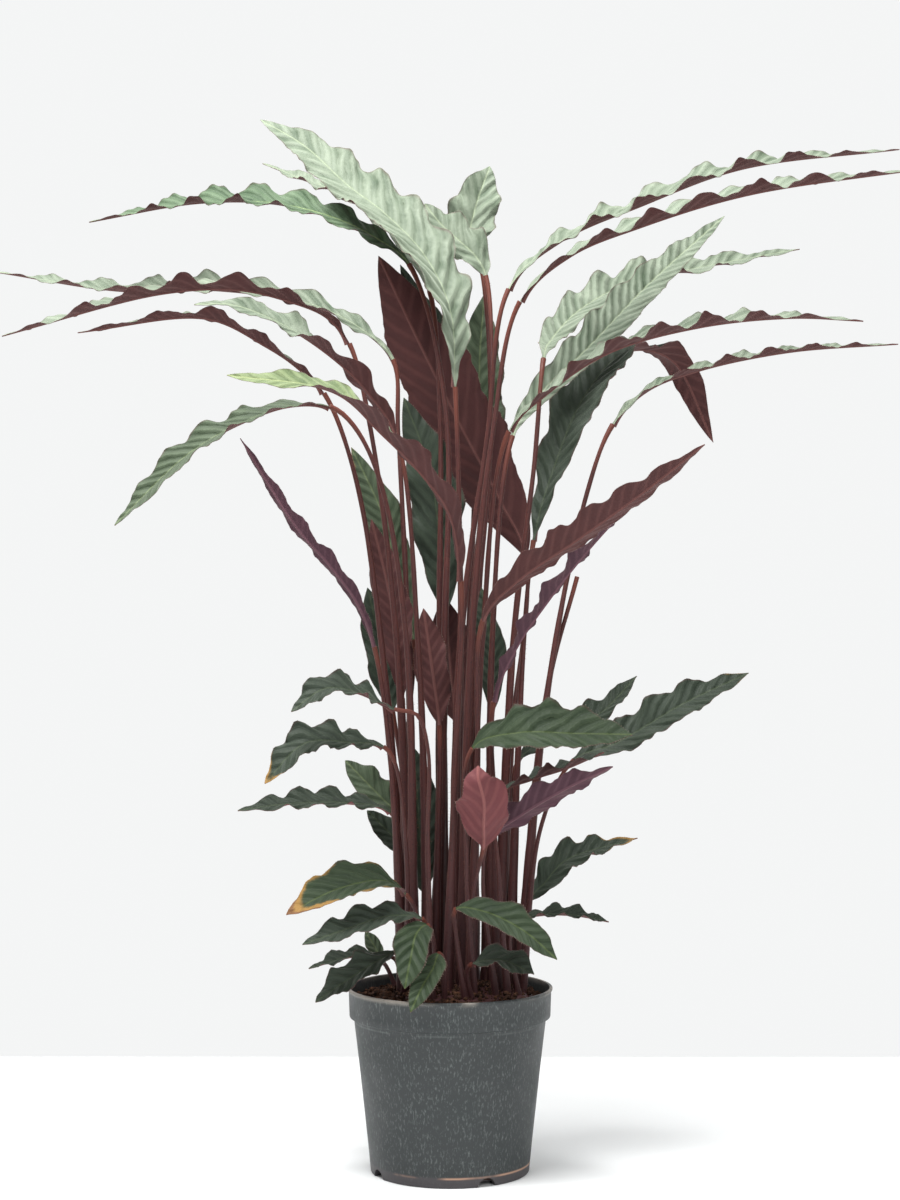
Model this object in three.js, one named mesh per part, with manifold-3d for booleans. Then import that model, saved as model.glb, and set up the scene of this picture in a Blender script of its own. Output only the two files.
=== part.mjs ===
// A potted furry feather calathea: a dark nursery pot, the soil in it, and a clump of long hairy leaf
// stalks that each carry one long blade with waved edges.
// Millimetres, +Z up. The origin is the centre of the pot's underside and the front looks along -Y.
import * as THREE from "three";
import { mergeVertices } from "three/addons/utils/BufferGeometryUtils.js";
import Module from "manifold-3d";

const wasm = await Module();
wasm.setup();

// Pot
const POT_HEIGHT = 170;
const RIM_RADIUS = 95;
const RIM_BAND = 27;
const RIM_STEP = 4;
const BODY_TOP_RADIUS = 89;
const BASE_RADIUS = 73.5;
const POT_WALL = 1.6;
const LIP_DEPTH = 3;
const LIP_REACH = 1.2;
const POT_SEGMENTS = 48;
const FOOT_HEIGHT = 3;
const FOOT_WIDTH = 7;
const BOSS_RADIUS = 25;
const DRAIN_COUNT = 6;
const DRAIN_RADIUS = 5;
const DRAIN_RING = 46;
const NOTCH_COUNT = 4;
const NOTCH_RADIUS = 9;
const NOTCH_SINK = 1;
const NOTCH_REACH = 16;
const NOTCH_AZIMUTH = 27;

// Soil and the crown that the stalks grow from
const SEAT_GAP = 0.3;
const SOIL_EDGE_TOP = 158;
const SOIL_MOUND = 9;
const SOIL_LUMPS = 1.6;
const CROWN_CENTRE = [9, 0];
const CROWN_RADII = [69, 57];
const CROWN_BOTTOM = 138;
const CROWN_SHOULDER = 164;
const CROWN_TOP = 172;
const FOOT_LEVEL = 150;

// Stalks, with six sides: stout sheaths at the foot that thin out quickly
const STALK_SIDES = 6;
const UPPER_STALK = { foot: 7, collar: 2.1 };
const LOWER_STALK = { foot: 4.2, collar: 1.7 };
const STALK_STEPS = 2;

// Blades
const COLLAR_GAP = 0.3;
const BLADE_THICKNESS = 1.0;
const RIB_THICKNESS = 1.6;
const RIB_TAPER = 0.05;
const TIP_HALF_WIDTH = 0.8;
const COLLAR_HALF_WIDTH = 2.2;
const FOLD = THREE.MathUtils.degToRad(20);
const SHAPE_RISE = 0.85;
const SHAPE_FALL = 0.9;
const WAVE_HEIGHT = 0.25;
const WAVE_REACH = 0.1;
const WAVE_LIMIT = 7;
const FEWEST_STEPS = 6;
const PATH_SAMPLES = 240;

// Colours
const POT_COLOUR = 0x3e4143;
const SOIL_COLOUR = 0x3a2a22;
const STALK_COLOUR = 0x6e3430;
const PALE_GREEN = 0x9db08f;
const DARK_GREEN = 0x39513a;
const MAROON = 0x5a3335;

// Every leaf: where its stalk leaves the crown, points that the stalk passes, then the blade's midrib from
// the collar to the tip. "facing" says where the upper side looks, from collar to tip: a number turns it
// about X, with 0 up, 90 to the front and -90 to the back, and a triple is a direction. "waves" counts the
// waves along one edge, and "swing" is their height as a share of the usual one.
const UPPER_LEAVES = [
  { name: "leaf_right_1", foot: [4, 12], stalk: [[10, 20, 490], [35, 25, 680]],
    blade: [[55, 30, 820], [105, 60, 870], [185, 95, 910], [285, 120, 950], [445, 150, 975]],
    width: 44, waves: 8, facing: [0, 14, 10], colour: PALE_GREEN },
  { name: "leaf_right_2", foot: [10, -4], stalk: [[20, -5, 490], [40, 0, 685]],
    blade: [[65, 0, 805], [110, -15, 845], [175, -30, 870], [270, -55, 895], [425, -75, 915]],
    width: 42, waves: 8, facing: [15, 8], colour: MAROON },
  { name: "leaf_right_3", foot: [40, 20], stalk: [[40, 45, 490]],
    blade: [[60, 70, 685], [85, 90, 725], [135, 120, 775], [195, 165, 840], [280, 220, 920]],
    width: 42, waves: 8, swing: 0.7, facing: [65, 50], colour: PALE_GREEN },
  { name: "leaf_right_4", foot: [44, 28], stalk: [[60, 45, 490], [80, 60, 655]],
    blade: [[90, 85, 760], [100, 140, 785], [130, 190, 820], [185, 250, 855], [270, 300, 880],
      [375, 345, 905]],
    width: 46, waves: 8, facing: [40, 28], colour: PALE_GREEN },
  { name: "leaf_right_5", foot: [16, 6], stalk: [[30, 0, 490]],
    blade: [[55, 5, 685], [90, -5, 720], [145, -25, 755], [225, -55, 775], [305, -85, 780], [365, -105, 775]],
    width: 42, waves: 8, facing: [15, 8], colour: PALE_GREEN },
  { name: "leaf_right_6", foot: [56, 14], stalk: [[65, 40, 395]],
    blade: [[80, 70, 585], [100, 90, 655], [130, 115, 725], [175, 160, 775], [225, 200, 770],
      [270, 235, 690]],
    width: 54, waves: 7, swing: 0.7, facing: [[-0.6, -0.6, 0.2], [-0.4, -0.8, 0.4], 5, -70],
    colour: DARK_GREEN },
  { name: "leaf_right_7", foot: [62, 4], stalk: [[90, 20, 435], [130, 50, 630]],
    blade: [[155, 60, 695], [190, 80, 730], [240, 90, 750], [330, 110, 770], [440, 130, 780]],
    width: 26, waves: 7, facing: [5, 5], colour: MAROON },
  { name: "leaf_right_8", foot: [18, -26], stalk: [[25, -40, 380]],
    blade: [[30, -60, 510], [60, -90, 545], [110, -125, 580], [165, -165, 620], [215, -195, 660]],
    width: 42, waves: 7, swing: 0.5, facing: [-25, -20], colour: MAROON },
  { name: "leaf_right_9", foot: [44, -14], stalk: [[40, -20, 345]],
    blade: [[40, -30, 435], [60, -45, 485], [90, -60, 530], [125, -80, 575], [170, -100, 625]],
    width: 28, waves: 6, facing: [0, 0], colour: MAROON },
  { name: "leaf_top_1", foot: [0, 20], stalk: [[10, 40, 490]],
    blade: [[5, 50, 730], [0, 60, 805], [-25, 80, 860], [-65, 105, 905], [-100, 130, 935],
      [-145, 160, 980], [-190, 180, 1010]],
    width: 68, waves: 8, swing: 0.7, colour: PALE_GREEN,
    facing: [[0.85, -0.5, 0.1], [0.6, -0.7, 0.4], [0.4, -0.75, 0.5], [0.3, -0.9, 0.4], [0.2, -0.9, 0.4]] },
  { name: "leaf_top_2", foot: [-8, 34], stalk: [[-10, 70, 490], [-10, 100, 720]],
    blade: [[-20, 120, 830], [-50, 165, 890], [-100, 230, 940], [-155, 290, 970], [-200, 335, 995]],
    width: 36, waves: 6, facing: [30, 20], colour: PALE_GREEN },
  { name: "leaf_top_3", foot: [-14, 26], stalk: [[-5, 50, 490], [-5, 80, 720]],
    blade: [[-40, 110, 855], [-70, 115, 880], [-110, 115, 900], [-170, 115, 915], [-245, 110, 915],
      [-350, 100, 895]],
    width: 42, waves: 8, facing: [50, 30, 8], colour: PALE_GREEN },
  { name: "leaf_top_4", foot: [12, 32], stalk: [[20, 65, 490], [40, 95, 740]],
    blade: [[35, 120, 845], [25, 125, 865], [10, 130, 880], [-10, 140, 900], [-25, 145, 920]],
    width: 44, waves: 3, facing: [60, 50], colour: PALE_GREEN },
  { name: "leaf_top_5", foot: [22, 42], stalk: [[25, 95, 490], [40, 130, 705]],
    blade: [[30, 170, 865], [20, 175, 890], [25, 180, 920], [40, 190, 965]],
    width: 52, waves: 3, facing: [85, 80], colour: PALE_GREEN },
  { name: "leaf_top_6", foot: [10, 46], stalk: [[20, 130, 430]],
    blade: [[25, 200, 630], [30, 210, 700], [30, 215, 770], [35, 220, 840]],
    width: 52, waves: 5, facing: [85, 85], colour: DARK_GREEN },
  { name: "leaf_top_7", foot: [46, 34], stalk: [[60, 90, 395]],
    blade: [[75, 150, 570], [50, 145, 625], [10, 135, 700], [-30, 130, 780], [-70, 125, 865]],
    width: 82, waves: 4, swing: 0.3, facing: [-80, -85], colour: MAROON },
  { name: "leaf_top_8", foot: [0, 44], stalk: [[15, 130, 430]],
    blade: [[20, 190, 700], [-5, 185, 775], [-30, 185, 820], [-50, 185, 865]],
    width: 34, waves: 3, facing: [85, 85], colour: DARK_GREEN },
  { name: "leaf_left_1", foot: [-36, 12], stalk: [[-50, 25, 490], [-75, 35, 690]],
    blade: [[-95, 40, 770], [-115, 40, 795], [-150, 40, 810], [-200, 30, 820], [-270, 20, 815],
      [-410, -30, 770]],
    width: 44, waves: 7, facing: [-8, 0, 4], colour: MAROON },
  { name: "leaf_left_2", foot: [-34, 28], stalk: [[-40, 60, 490], [-50, 85, 690]],
    blade: [[-55, 90, 760], [-85, 95, 790], [-135, 100, 815], [-225, 110, 830], [-320, 115, 830],
      [-445, 125, 850]],
    width: 42, waves: 8, facing: [30, 15], colour: PALE_GREEN },
  { name: "leaf_left_3", foot: [-20, 4], stalk: [[-30, 10, 490]],
    blade: [[-50, 20, 680], [-75, 10, 720], [-105, 0, 750], [-150, -10, 780], [-200, -15, 800],
      [-235, -20, 800]],
    width: 36, waves: 5, facing: [-30, -10, 35, 40], colour: PALE_GREEN },
  { name: "leaf_left_4", foot: [-40, 18], stalk: [[-60, 35, 445], [-90, 55, 645]],
    blade: [[-120, 60, 725], [-145, 60, 750], [-175, 60, 770], [-230, 50, 795], [-350, 30, 780]],
    width: 28, waves: 5, facing: [-8, -4], colour: MAROON },
  { name: "leaf_left_5", foot: [-4, -22], stalk: [[5, -40, 380]],
    blade: [[10, -60, 545], [0, -75, 605], [-25, -90, 640], [-60, -105, 675], [-100, -115, 710],
      [-195, -125, 725]],
    width: 46, waves: 6, swing: 0.6, colour: MAROON,
    facing: [[0.9, 0.35, 0.3], [0.7, 0.4, 0.6], [0.2, -0.2, 1], [0, -0.9, 0.5]] },
  { name: "leaf_left_6", foot: [-34, -6], stalk: [[-40, -10, 490], [-65, -20, 640], [-90, -25, 690]],
    blade: [[-110, -30, 705], [-145, -40, 705], [-185, -55, 690], [-235, -65, 660], [-300, -80, 595]],
    width: 38, waves: 6, swing: 0.7, facing: [10, 25, 35], colour: DARK_GREEN },
  { name: "leaf_left_7", foot: [-42, 2], stalk: [[-55, -5, 380]],
    blade: [[-70, -10, 485], [-85, -20, 525], [-110, -30, 560], [-140, -40, 595], [-190, -45, 675]],
    width: 18, waves: 6, facing: [-30, -30], colour: MAROON },
  { name: "leaf_inner_1", foot: [-30, 34], stalk: [[-40, 60, 395]],
    blade: [[-35, 75, 490], [-50, 85, 545], [-65, 85, 610], [-95, 85, 675]],
    width: 40, waves: 3, facing: [80, 80], colour: DARK_GREEN },
  { name: "leaf_inner_2", foot: [-4, 42], stalk: [[-5, 80, 395]],
    blade: [[-5, 95, 515], [-10, 100, 585], [-20, 105, 655], [-45, 110, 725]],
    width: 54, waves: 4, facing: [80, 80], colour: DARK_GREEN },
  { name: "leaf_inner_3", foot: [-38, 12], stalk: [[-40, 30, 340]],
    blade: [[-45, 45, 435], [-50, 50, 490], [-60, 55, 545], [-75, 60, 605]],
    width: 36, waves: 3, facing: [-80, -80], colour: MAROON },
  { name: "leaf_inner_4", foot: [-16, 14], stalk: [[-10, 25, 340]],
    blade: [[-10, 35, 410], [-15, 35, 450], [-25, 40, 520]],
    width: 34, waves: 2, facing: [-80, -80], colour: MAROON },
  { name: "leaf_inner_5", foot: [34, 28], stalk: [[35, 45, 340]],
    blade: [[40, 60, 420], [40, 60, 470], [30, 65, 540]],
    width: 28, waves: 2, facing: [80, 80], colour: DARK_GREEN },
  { name: "leaf_inner_6", foot: [-34, 32], stalk: [[-45, 70, 355]],
    blade: [[-55, 85, 420], [-65, 90, 475], [-80, 100, 540]],
    width: 36, waves: 2, facing: [80, 80], colour: DARK_GREEN },
  { name: "leaf_inner_7", foot: [-22, 36], stalk: [[-20, 55, 200], [-20, 80, 230]],
    blade: [[-25, 90, 245], [-30, 95, 310], [-35, 100, 385]],
    width: 50, waves: 2, facing: [80, 80], colour: DARK_GREEN },
  { name: "leaf_inner_8", foot: [6, 40], stalk: [[5, 80, 330]],
    blade: [[5, 100, 410], [0, 110, 470], [-5, 110, 530]],
    width: 50, waves: 2, facing: [-80, -80], colour: MAROON },
];

const LOWER_LEAVES = [
  { name: "leaf_low_left_1", foot: [-16, -32], stalk: [[-20, -45, 305], [-20, -60, 395], [-30, -65, 425]],
    blade: [[-50, -70, 430], [-80, -85, 445], [-110, -100, 450], [-140, -110, 430]],
    width: 34, waves: 4, facing: [20, 45], colour: DARK_GREEN },
  { name: "leaf_low_left_2", foot: [-40, -12], stalk: [[-40, -30, 300], [-50, -45, 380]],
    blade: [[-60, -50, 395], [-90, -65, 400], [-130, -80, 400], [-165, -90, 365]],
    width: 38, waves: 5, facing: [30, 45], colour: DARK_GREEN },
  { name: "leaf_low_left_3", foot: [-44, 6], stalk: [[-45, 10, 285]],
    blade: [[-55, 10, 330], [-95, 0, 340], [-150, -10, 340], [-195, -20, 335]],
    width: 32, waves: 5, facing: [25, 30], colour: DARK_GREEN },
  { name: "leaf_low_left_4", foot: [-38, 22], stalk: [[-40, 45, 280]],
    blade: [[-50, 50, 325], [-65, 55, 340], [-85, 60, 360], [-100, 65, 375]],
    width: 32, waves: 3, facing: [60, 60], colour: PALE_GREEN },
  { name: "leaf_low_left_5", foot: [-28, 38], stalk: [[-35, 65, 250]],
    blade: [[-40, 75, 280], [-55, 85, 300], [-80, 90, 325]],
    width: 28, waves: 2, facing: [60, 60], colour: DARK_GREEN },
  { name: "leaf_low_left_6", foot: [-30, -28], stalk: [[-30, -35, 240]],
    blade: [[-40, -40, 260], [-60, -60, 275], [-100, -80, 270], [-145, -100, 250]],
    width: 48, waves: 4, swing: 0.3, facing: [30, 35], colour: DARK_GREEN },
  { name: "leaf_low_left_7", foot: [-22, -36], stalk: [[-20, -45, 225]],
    blade: [[-25, -55, 240], [-55, -75, 245], [-95, -95, 235], [-130, -110, 225]],
    width: 32, waves: 4, facing: [35, 40], colour: DARK_GREEN },
  { name: "leaf_low_left_8", foot: [-44, -12], stalk: [[-40, -35, 215]],
    blade: [[-50, -50, 210], [-70, -60, 200], [-95, -70, 185], [-120, -85, 170]],
    width: 34, waves: 3, facing: [30, 30], colour: DARK_GREEN },
  { name: "leaf_low_left_9", foot: [-46, 4], stalk: [[-50, -5, 195]],
    blade: [[-60, -10, 200], [-90, -15, 200], [-130, -20, 190]],
    width: 22, waves: 3, facing: [20, 20], colour: DARK_GREEN },
  { name: "leaf_low_left_10", foot: [-44, 20], stalk: [[-60, 25, 185]],
    blade: [[-65, 30, 190], [-70, 35, 200], [-80, 40, 215]],
    width: 16, waves: 1, facing: [60, 60], colour: PALE_GREEN },
  { name: "leaf_low_front_1", foot: [-16, -40], stalk: [[-15, -50, 220]],
    blade: [[-20, -60, 235], [-30, -80, 230], [-35, -95, 210], [-40, -105, 185]],
    width: 34, waves: 2, swing: 0.4, facing: [40, 50], colour: DARK_GREEN },
  { name: "leaf_low_front_2", foot: [-6, -44], stalk: [[-5, -55, 200]],
    blade: [[-10, -65, 210], [-15, -85, 200], [-25, -100, 185], [-35, -110, 165]],
    width: 26, waves: 2, swing: 0.4, facing: [40, 50], colour: DARK_GREEN },
  { name: "leaf_low_front_3", foot: [16, -42], stalk: [[5, -55, 230]],
    blade: [[5, -65, 250], [30, -80, 250], [65, -95, 235], [95, -100, 210]],
    width: 34, waves: 3, swing: 0.6, facing: [45, 45], colour: DARK_GREEN },
  { name: "leaf_low_front_4", foot: [24, -40], stalk: [[15, -50, 190]],
    blade: [[20, -60, 200], [45, -70, 205], [75, -85, 195]],
    width: 34, waves: 2, facing: [30, 30], colour: DARK_GREEN },
  { name: "leaf_low_front_5", foot: [18, -32], stalk: [[20, -45, 255]],
    blade: [[30, -60, 305], [30, -80, 325], [30, -95, 350], [25, -100, 370], [25, -90, 380]],
    width: 50, waves: 2, swing: 0.4, facing: [-85, -95, -140], colour: MAROON },
  { name: "leaf_low_right_1", foot: [24, -36], stalk: [[15, -50, 295]],
    blade: [[20, -70, 395], [60, -90, 410], [110, -100, 410], [160, -115, 410]],
    width: 58, waves: 5, swing: 0.5, facing: [45, 45], colour: DARK_GREEN },
  { name: "leaf_low_right_2", foot: [66, -4], stalk: [[85, 0, 320]],
    blade: [[115, 0, 380], [155, 10, 395], [215, 15, 430], [280, 25, 460]],
    width: 40, waves: 5, facing: [50, 45], colour: DARK_GREEN },
  { name: "leaf_low_right_3", foot: [50, 24], stalk: [[60, 45, 310]],
    blade: [[65, 60, 375], [105, 70, 400], [145, 80, 420], [180, 90, 455]],
    width: 34, waves: 4, facing: [30, 30], colour: DARK_GREEN },
  { name: "leaf_low_right_4", foot: [44, -30], stalk: [[30, -40, 275]],
    blade: [[35, -45, 310], [65, -60, 335], [105, -75, 360], [145, -85, 380]],
    width: 32, waves: 4, facing: [-60, -40], colour: MAROON },
  { name: "leaf_low_right_5", foot: [54, -24], stalk: [[45, -30, 270]],
    blade: [[45, -30, 350], [75, -35, 365], [105, -40, 375], [140, -40, 390]],
    width: 32, waves: 4, facing: [0, 0], colour: DARK_GREEN },
  { name: "leaf_low_right_6", foot: [66, 22], stalk: [[65, 40, 205]],
    blade: [[70, 45, 240], [90, 50, 260], [110, 60, 280], [180, 80, 300]],
    width: 34, waves: 5, facing: [50, 40, 10], colour: DARK_GREEN },
  { name: "leaf_low_right_7", foot: [66, -18], stalk: [[55, -20, 220]],
    blade: [[65, -20, 235], [85, -25, 240], [115, -30, 240], [145, -35, 235]],
    width: 24, waves: 4, facing: [20, 15], colour: DARK_GREEN },
];

// A stalk whose blade was cut off
const BARE_STALKS = [
  { foot: [64, 18], stalk: [[90, 30, 435]], top: [120, 40, 550] },
];

// Small tools

// Closed geometry with shared vertices and its faces pointing out.
function closed(geometry) {
  const bare = new THREE.BufferGeometry();
  bare.setAttribute("position", geometry.getAttribute("position").clone());
  bare.setIndex(geometry.getIndex());
  const merged = mergeVertices(bare, 1e-4);
  const index = merged.getIndex().array;
  const kept = [];
  for (let i = 0; i < index.length; i += 3) {
    const [a, b, c] = [index[i], index[i + 1], index[i + 2]];
    if (a !== b && b !== c && c !== a) kept.push(a, b, c);
  }
  merged.setIndex(signedVolume(merged, kept) < 0 ? kept.reverse() : kept);
  return merged;
}

function signedVolume(geometry, index) {
  const position = geometry.getAttribute("position");
  const [a, b, c] = [new THREE.Vector3(), new THREE.Vector3(), new THREE.Vector3()];
  let volume = 0;
  for (let i = 0; i < index.length; i += 3) {
    a.fromBufferAttribute(position, index[i]);
    b.fromBufferAttribute(position, index[i + 1]);
    c.fromBufferAttribute(position, index[i + 2]);
    volume += a.dot(b.cross(c)) / 6;
  }
  return volume;
}

function toSolid(geometry) {
  const mesh = closed(geometry);
  return new wasm.Manifold(new wasm.Mesh({
    numProp: 3,
    vertProperties: new Float32Array(mesh.getAttribute("position").array),
    triVerts: new Uint32Array(mesh.getIndex().array),
  }));
}

function toGeometry(solid) {
  const mesh = solid.getMesh();
  const geometry = new THREE.BufferGeometry();
  geometry.setAttribute("position", new THREE.BufferAttribute(mesh.vertProperties, mesh.numProp));
  geometry.setIndex(new THREE.BufferAttribute(mesh.triVerts, 1));
  return geometry;
}

function piece(name, geometry, colour, roughness) {
  geometry.computeVertexNormals();
  const material = new THREE.MeshStandardMaterial({ color: colour, roughness, metalness: 0 });
  const mesh = new THREE.Mesh(geometry, material);
  mesh.name = name;
  return mesh;
}

// A body turned about Z from [radius, height] pairs that start and end on the axis.
function turned(profile, segments) {
  const points = profile.map(([radius, height]) => new THREE.Vector2(radius, height));
  return new THREE.LatheGeometry(points, segments).rotateX(Math.PI / 2);
}

// Closed skin over a row of sections with equal numbers of points. Each end is closed by a fan from the
// section's second point, the midrib of a blade, because both edges lie in line with it there. The second
// half of a section is split the other way, so that a thin blade has the same triangles above and below.
function loft(sections) {
  const count = sections[0].length;
  const positions = sections.flat().flatMap((point) => point.toArray());
  const index = [];
  const last = (sections.length - 1) * count;
  for (let i = 2; i < count; i += 1) {
    const next = (i + 1) % count;
    index.push(1, next, i, last + 1, last + i, last + next);
  }
  for (let row = 0; row < sections.length - 1; row += 1) {
    for (let i = 0; i < count; i += 1) {
      const [a, b] = [row * count + i, row * count + ((i + 1) % count)];
      if (i < count / 2) index.push(a, b, b + count, a, b + count, a + count);
      else index.push(a, b, a + count, b, b + count, a + count);
    }
  }
  const geometry = new THREE.BufferGeometry();
  geometry.setAttribute("position", new THREE.Float32BufferAttribute(positions, 3));
  geometry.setIndex(index);
  return geometry;
}

// A smooth path through points, read by the distance along it.
class Path {
  constructor(points) {
    const vectors = points.map((point) => new THREE.Vector3(...point));
    this.curve = new THREE.CatmullRomCurve3(vectors, false, "centripetal");
    this.lengths = [0];
    let before = this.curve.getPoint(0);
    for (let i = 1; i <= PATH_SAMPLES; i += 1) {
      const here = this.curve.getPoint(i / PATH_SAMPLES);
      this.lengths.push(this.lengths[i - 1] + here.distanceTo(before));
      before = here;
    }
  }

  // Distance along the path at the curve's own parameter.
  distanceAt(parameter) {
    const place = parameter * PATH_SAMPLES;
    const low = Math.min(Math.floor(place), PATH_SAMPLES - 1);
    return THREE.MathUtils.lerp(this.lengths[low], this.lengths[low + 1], place - low);
  }

  get length() {
    return this.lengths[PATH_SAMPLES];
  }

  at(distance) {
    let low = 0;
    while (low < PATH_SAMPLES - 1 && this.lengths[low + 1] < distance) low += 1;
    const share = (distance - this.lengths[low]) / (this.lengths[low + 1] - this.lengths[low]);
    const parameter = THREE.MathUtils.clamp((low + share) / PATH_SAMPLES, 0, 1);
    return { point: this.curve.getPoint(parameter), along: this.curve.getTangent(parameter) };
  }
}

// Pot

function potSection() {
  const bandBottom = POT_HEIGHT - RIM_BAND;
  const inside = (radius) => radius - POT_WALL;
  const floorTop = FOOT_HEIGHT + POT_WALL;
  return [
    [0, 0], [BOSS_RADIUS, 0], [BOSS_RADIUS + 1, FOOT_HEIGHT], [BASE_RADIUS - FOOT_WIDTH, FOOT_HEIGHT],
    [BASE_RADIUS - FOOT_WIDTH + 1, 0], [BASE_RADIUS - 1, 0], [BASE_RADIUS, 1.2],
    [BODY_TOP_RADIUS, bandBottom - 1.5], [BODY_TOP_RADIUS + RIM_STEP, bandBottom],
    [RIM_RADIUS - LIP_REACH, POT_HEIGHT - LIP_DEPTH], [RIM_RADIUS, POT_HEIGHT - LIP_DEPTH + 1],
    [RIM_RADIUS, POT_HEIGHT], [inside(RIM_RADIUS - LIP_REACH), POT_HEIGHT],
    [inside(BODY_TOP_RADIUS + RIM_STEP), bandBottom + POT_WALL], [inside(BODY_TOP_RADIUS), bandBottom],
    [inside(BASE_RADIUS) - 1, floorTop + 1], [inside(BASE_RADIUS) - 3, floorTop], [0, floorTop],
  ];
}

function drainHole(number) {
  const angle = (2 * Math.PI * number) / DRAIN_COUNT;
  const hole = new THREE.CylinderGeometry(DRAIN_RADIUS, DRAIN_RADIUS, 4 * FOOT_HEIGHT, 12);
  hole.rotateX(Math.PI / 2);
  hole.translate(DRAIN_RING * Math.cos(angle), DRAIN_RING * Math.sin(angle), FOOT_HEIGHT);
  return toSolid(hole);
}

// Half-round water outlet where the wall meets the ground.
function notch(number) {
  const azimuth = THREE.MathUtils.degToRad(NOTCH_AZIMUTH + (360 * number) / NOTCH_COUNT);
  const cut = new THREE.CylinderGeometry(NOTCH_RADIUS, NOTCH_RADIUS, NOTCH_REACH, 16);
  cut.translate(0, -BASE_RADIUS, -NOTCH_SINK);
  cut.rotateZ(azimuth);
  return toSolid(cut);
}

function pot() {
  let solid = toSolid(turned(potSection(), POT_SEGMENTS));
  for (let i = 0; i < DRAIN_COUNT; i += 1) solid = solid.subtract(drainHole(i));
  for (let i = 0; i < NOTCH_COUNT; i += 1) solid = solid.subtract(notch(i));
  return piece("pot", toGeometry(solid), POT_COLOUR, 0.6);
}

// Soil and crown

// The crown's side is an upright ellipse; a gap widens it to make the hole that it stands in.
function crownSolid(gap, profile) {
  const outline = new THREE.LatheGeometry(profile.map(([r, z]) => new THREE.Vector2(r, z)), 36);
  outline.rotateX(Math.PI / 2);
  outline.scale(CROWN_RADII[0] + gap, CROWN_RADII[1] + gap, 1);
  outline.translate(...CROWN_CENTRE, 0);
  return toSolid(outline);
}

function crown() {
  return crownSolid(0, [
    [0, CROWN_BOTTOM], [0.9, CROWN_BOTTOM], [1, CROWN_BOTTOM + 5], [1, CROWN_SHOULDER - 4],
    [0.9, CROWN_SHOULDER], [0.6, CROWN_TOP - 2], [0, CROWN_TOP],
  ]);
}

function crownHole() {
  const bottom = CROWN_BOTTOM - SEAT_GAP;
  return crownSolid(SEAT_GAP, [[0, bottom], [1, bottom], [1, POT_HEIGHT + 40], [0, POT_HEIGHT + 40]]);
}

function soilTop(radius, reach) {
  return SOIL_EDGE_TOP + SOIL_MOUND * (1 - (radius / reach) ** 2);
}

function soil() {
  const inset = POT_WALL + SEAT_GAP + 0.1;
  const bandBottom = POT_HEIGHT - RIM_BAND;
  const edge = BODY_TOP_RADIUS + RIM_STEP - inset;
  const floor = FOOT_HEIGHT + POT_WALL + SEAT_GAP;
  const rings = [edge - 6, edge - 14, edge - 26, edge - 50];
  const geometry = turned([
    [0, floor], [BASE_RADIUS - inset - 4, floor], [BASE_RADIUS - inset - 1, floor + 3],
    [BODY_TOP_RADIUS - inset, bandBottom], [edge, bandBottom + POT_WALL + 1], [edge, SOIL_EDGE_TOP],
    ...rings.map((radius) => [radius, soilTop(radius, edge)]), [0, soilTop(0, edge)],
  ], POT_SEGMENTS);
  const position = geometry.getAttribute("position");
  for (let i = 0; i < position.count; i += 1) {
    const [x, y, z] = [position.getX(i), position.getY(i), position.getZ(i)];
    const lump = Math.sin(0.31 * x + 1) * Math.cos(0.27 * y) + 0.6 * Math.sin(0.19 * (x + 2 * y));
    if (z >= SOIL_EDGE_TOP) position.setZ(i, z + SOIL_LUMPS * lump);
  }
  return piece("soil", toGeometry(toSolid(geometry).subtract(crownHole())), SOIL_COLOUR, 1);
}

// Stalks

function leafPath(leaf) {
  return new Path([[...leaf.foot, FOOT_LEVEL], ...leaf.stalk, ...leaf.blade]);
}

// Where the collar lies along a leaf's path.
function collarDistance(leaf, path) {
  const points = 1 + leaf.stalk.length + leaf.blade.length;
  return path.distanceAt((1 + leaf.stalk.length) / (points - 1));
}

function tube(path, end, radii, steps) {
  const sections = [];
  for (let row = 0; row <= steps; row += 1) {
    const { point, along } = path.at((end * row) / steps);
    const side = new THREE.Vector3(0, 1, 0).cross(along).normalize();
    const front = along.clone().cross(side);
    const radius = radii.collar + (radii.foot - radii.collar) * (1 - row / steps) ** 2;
    const section = [];
    for (let i = 0; i < STALK_SIDES; i += 1) {
      const angle = (2 * Math.PI * i) / STALK_SIDES;
      section.push(point.clone()
        .addScaledVector(side, radius * Math.cos(angle))
        .addScaledVector(front, radius * Math.sin(angle)));
    }
    sections.push(section);
  }
  return toSolid(loft(sections));
}

function leafStalk(leaf, radii) {
  const path = leafPath(leaf);
  const end = collarDistance(leaf, path) - COLLAR_GAP / 2;
  return tube(path, end, radii, STALK_STEPS * (leaf.stalk.length + 1));
}

function bareStalk({ foot, stalk, top }) {
  const path = new Path([[...foot, FOOT_LEVEL], ...stalk, top]);
  return tube(path, path.length, UPPER_STALK, STALK_STEPS * (stalk.length + 1));
}

// The crown with every stalk grown out of it, in one body.
function stems() {
  let solid = crown();
  for (const leaf of UPPER_LEAVES) solid = solid.add(leafStalk(leaf, UPPER_STALK));
  for (const leaf of LOWER_LEAVES) solid = solid.add(leafStalk(leaf, LOWER_STALK));
  for (const stalk of BARE_STALKS) solid = solid.add(bareStalk(stalk));
  return piece("stems", toGeometry(solid), STALK_COLOUR, 0.8);
}

// Blades

// Half-width along the blade as a share of the widest, which lies close to the middle.
function bladeShape(s) {
  const widest = SHAPE_RISE / (SHAPE_RISE + SHAPE_FALL);
  const peak = widest ** SHAPE_RISE * (1 - widest) ** SHAPE_FALL;
  return (s ** SHAPE_RISE * (1 - s) ** SHAPE_FALL) / peak;
}

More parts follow.
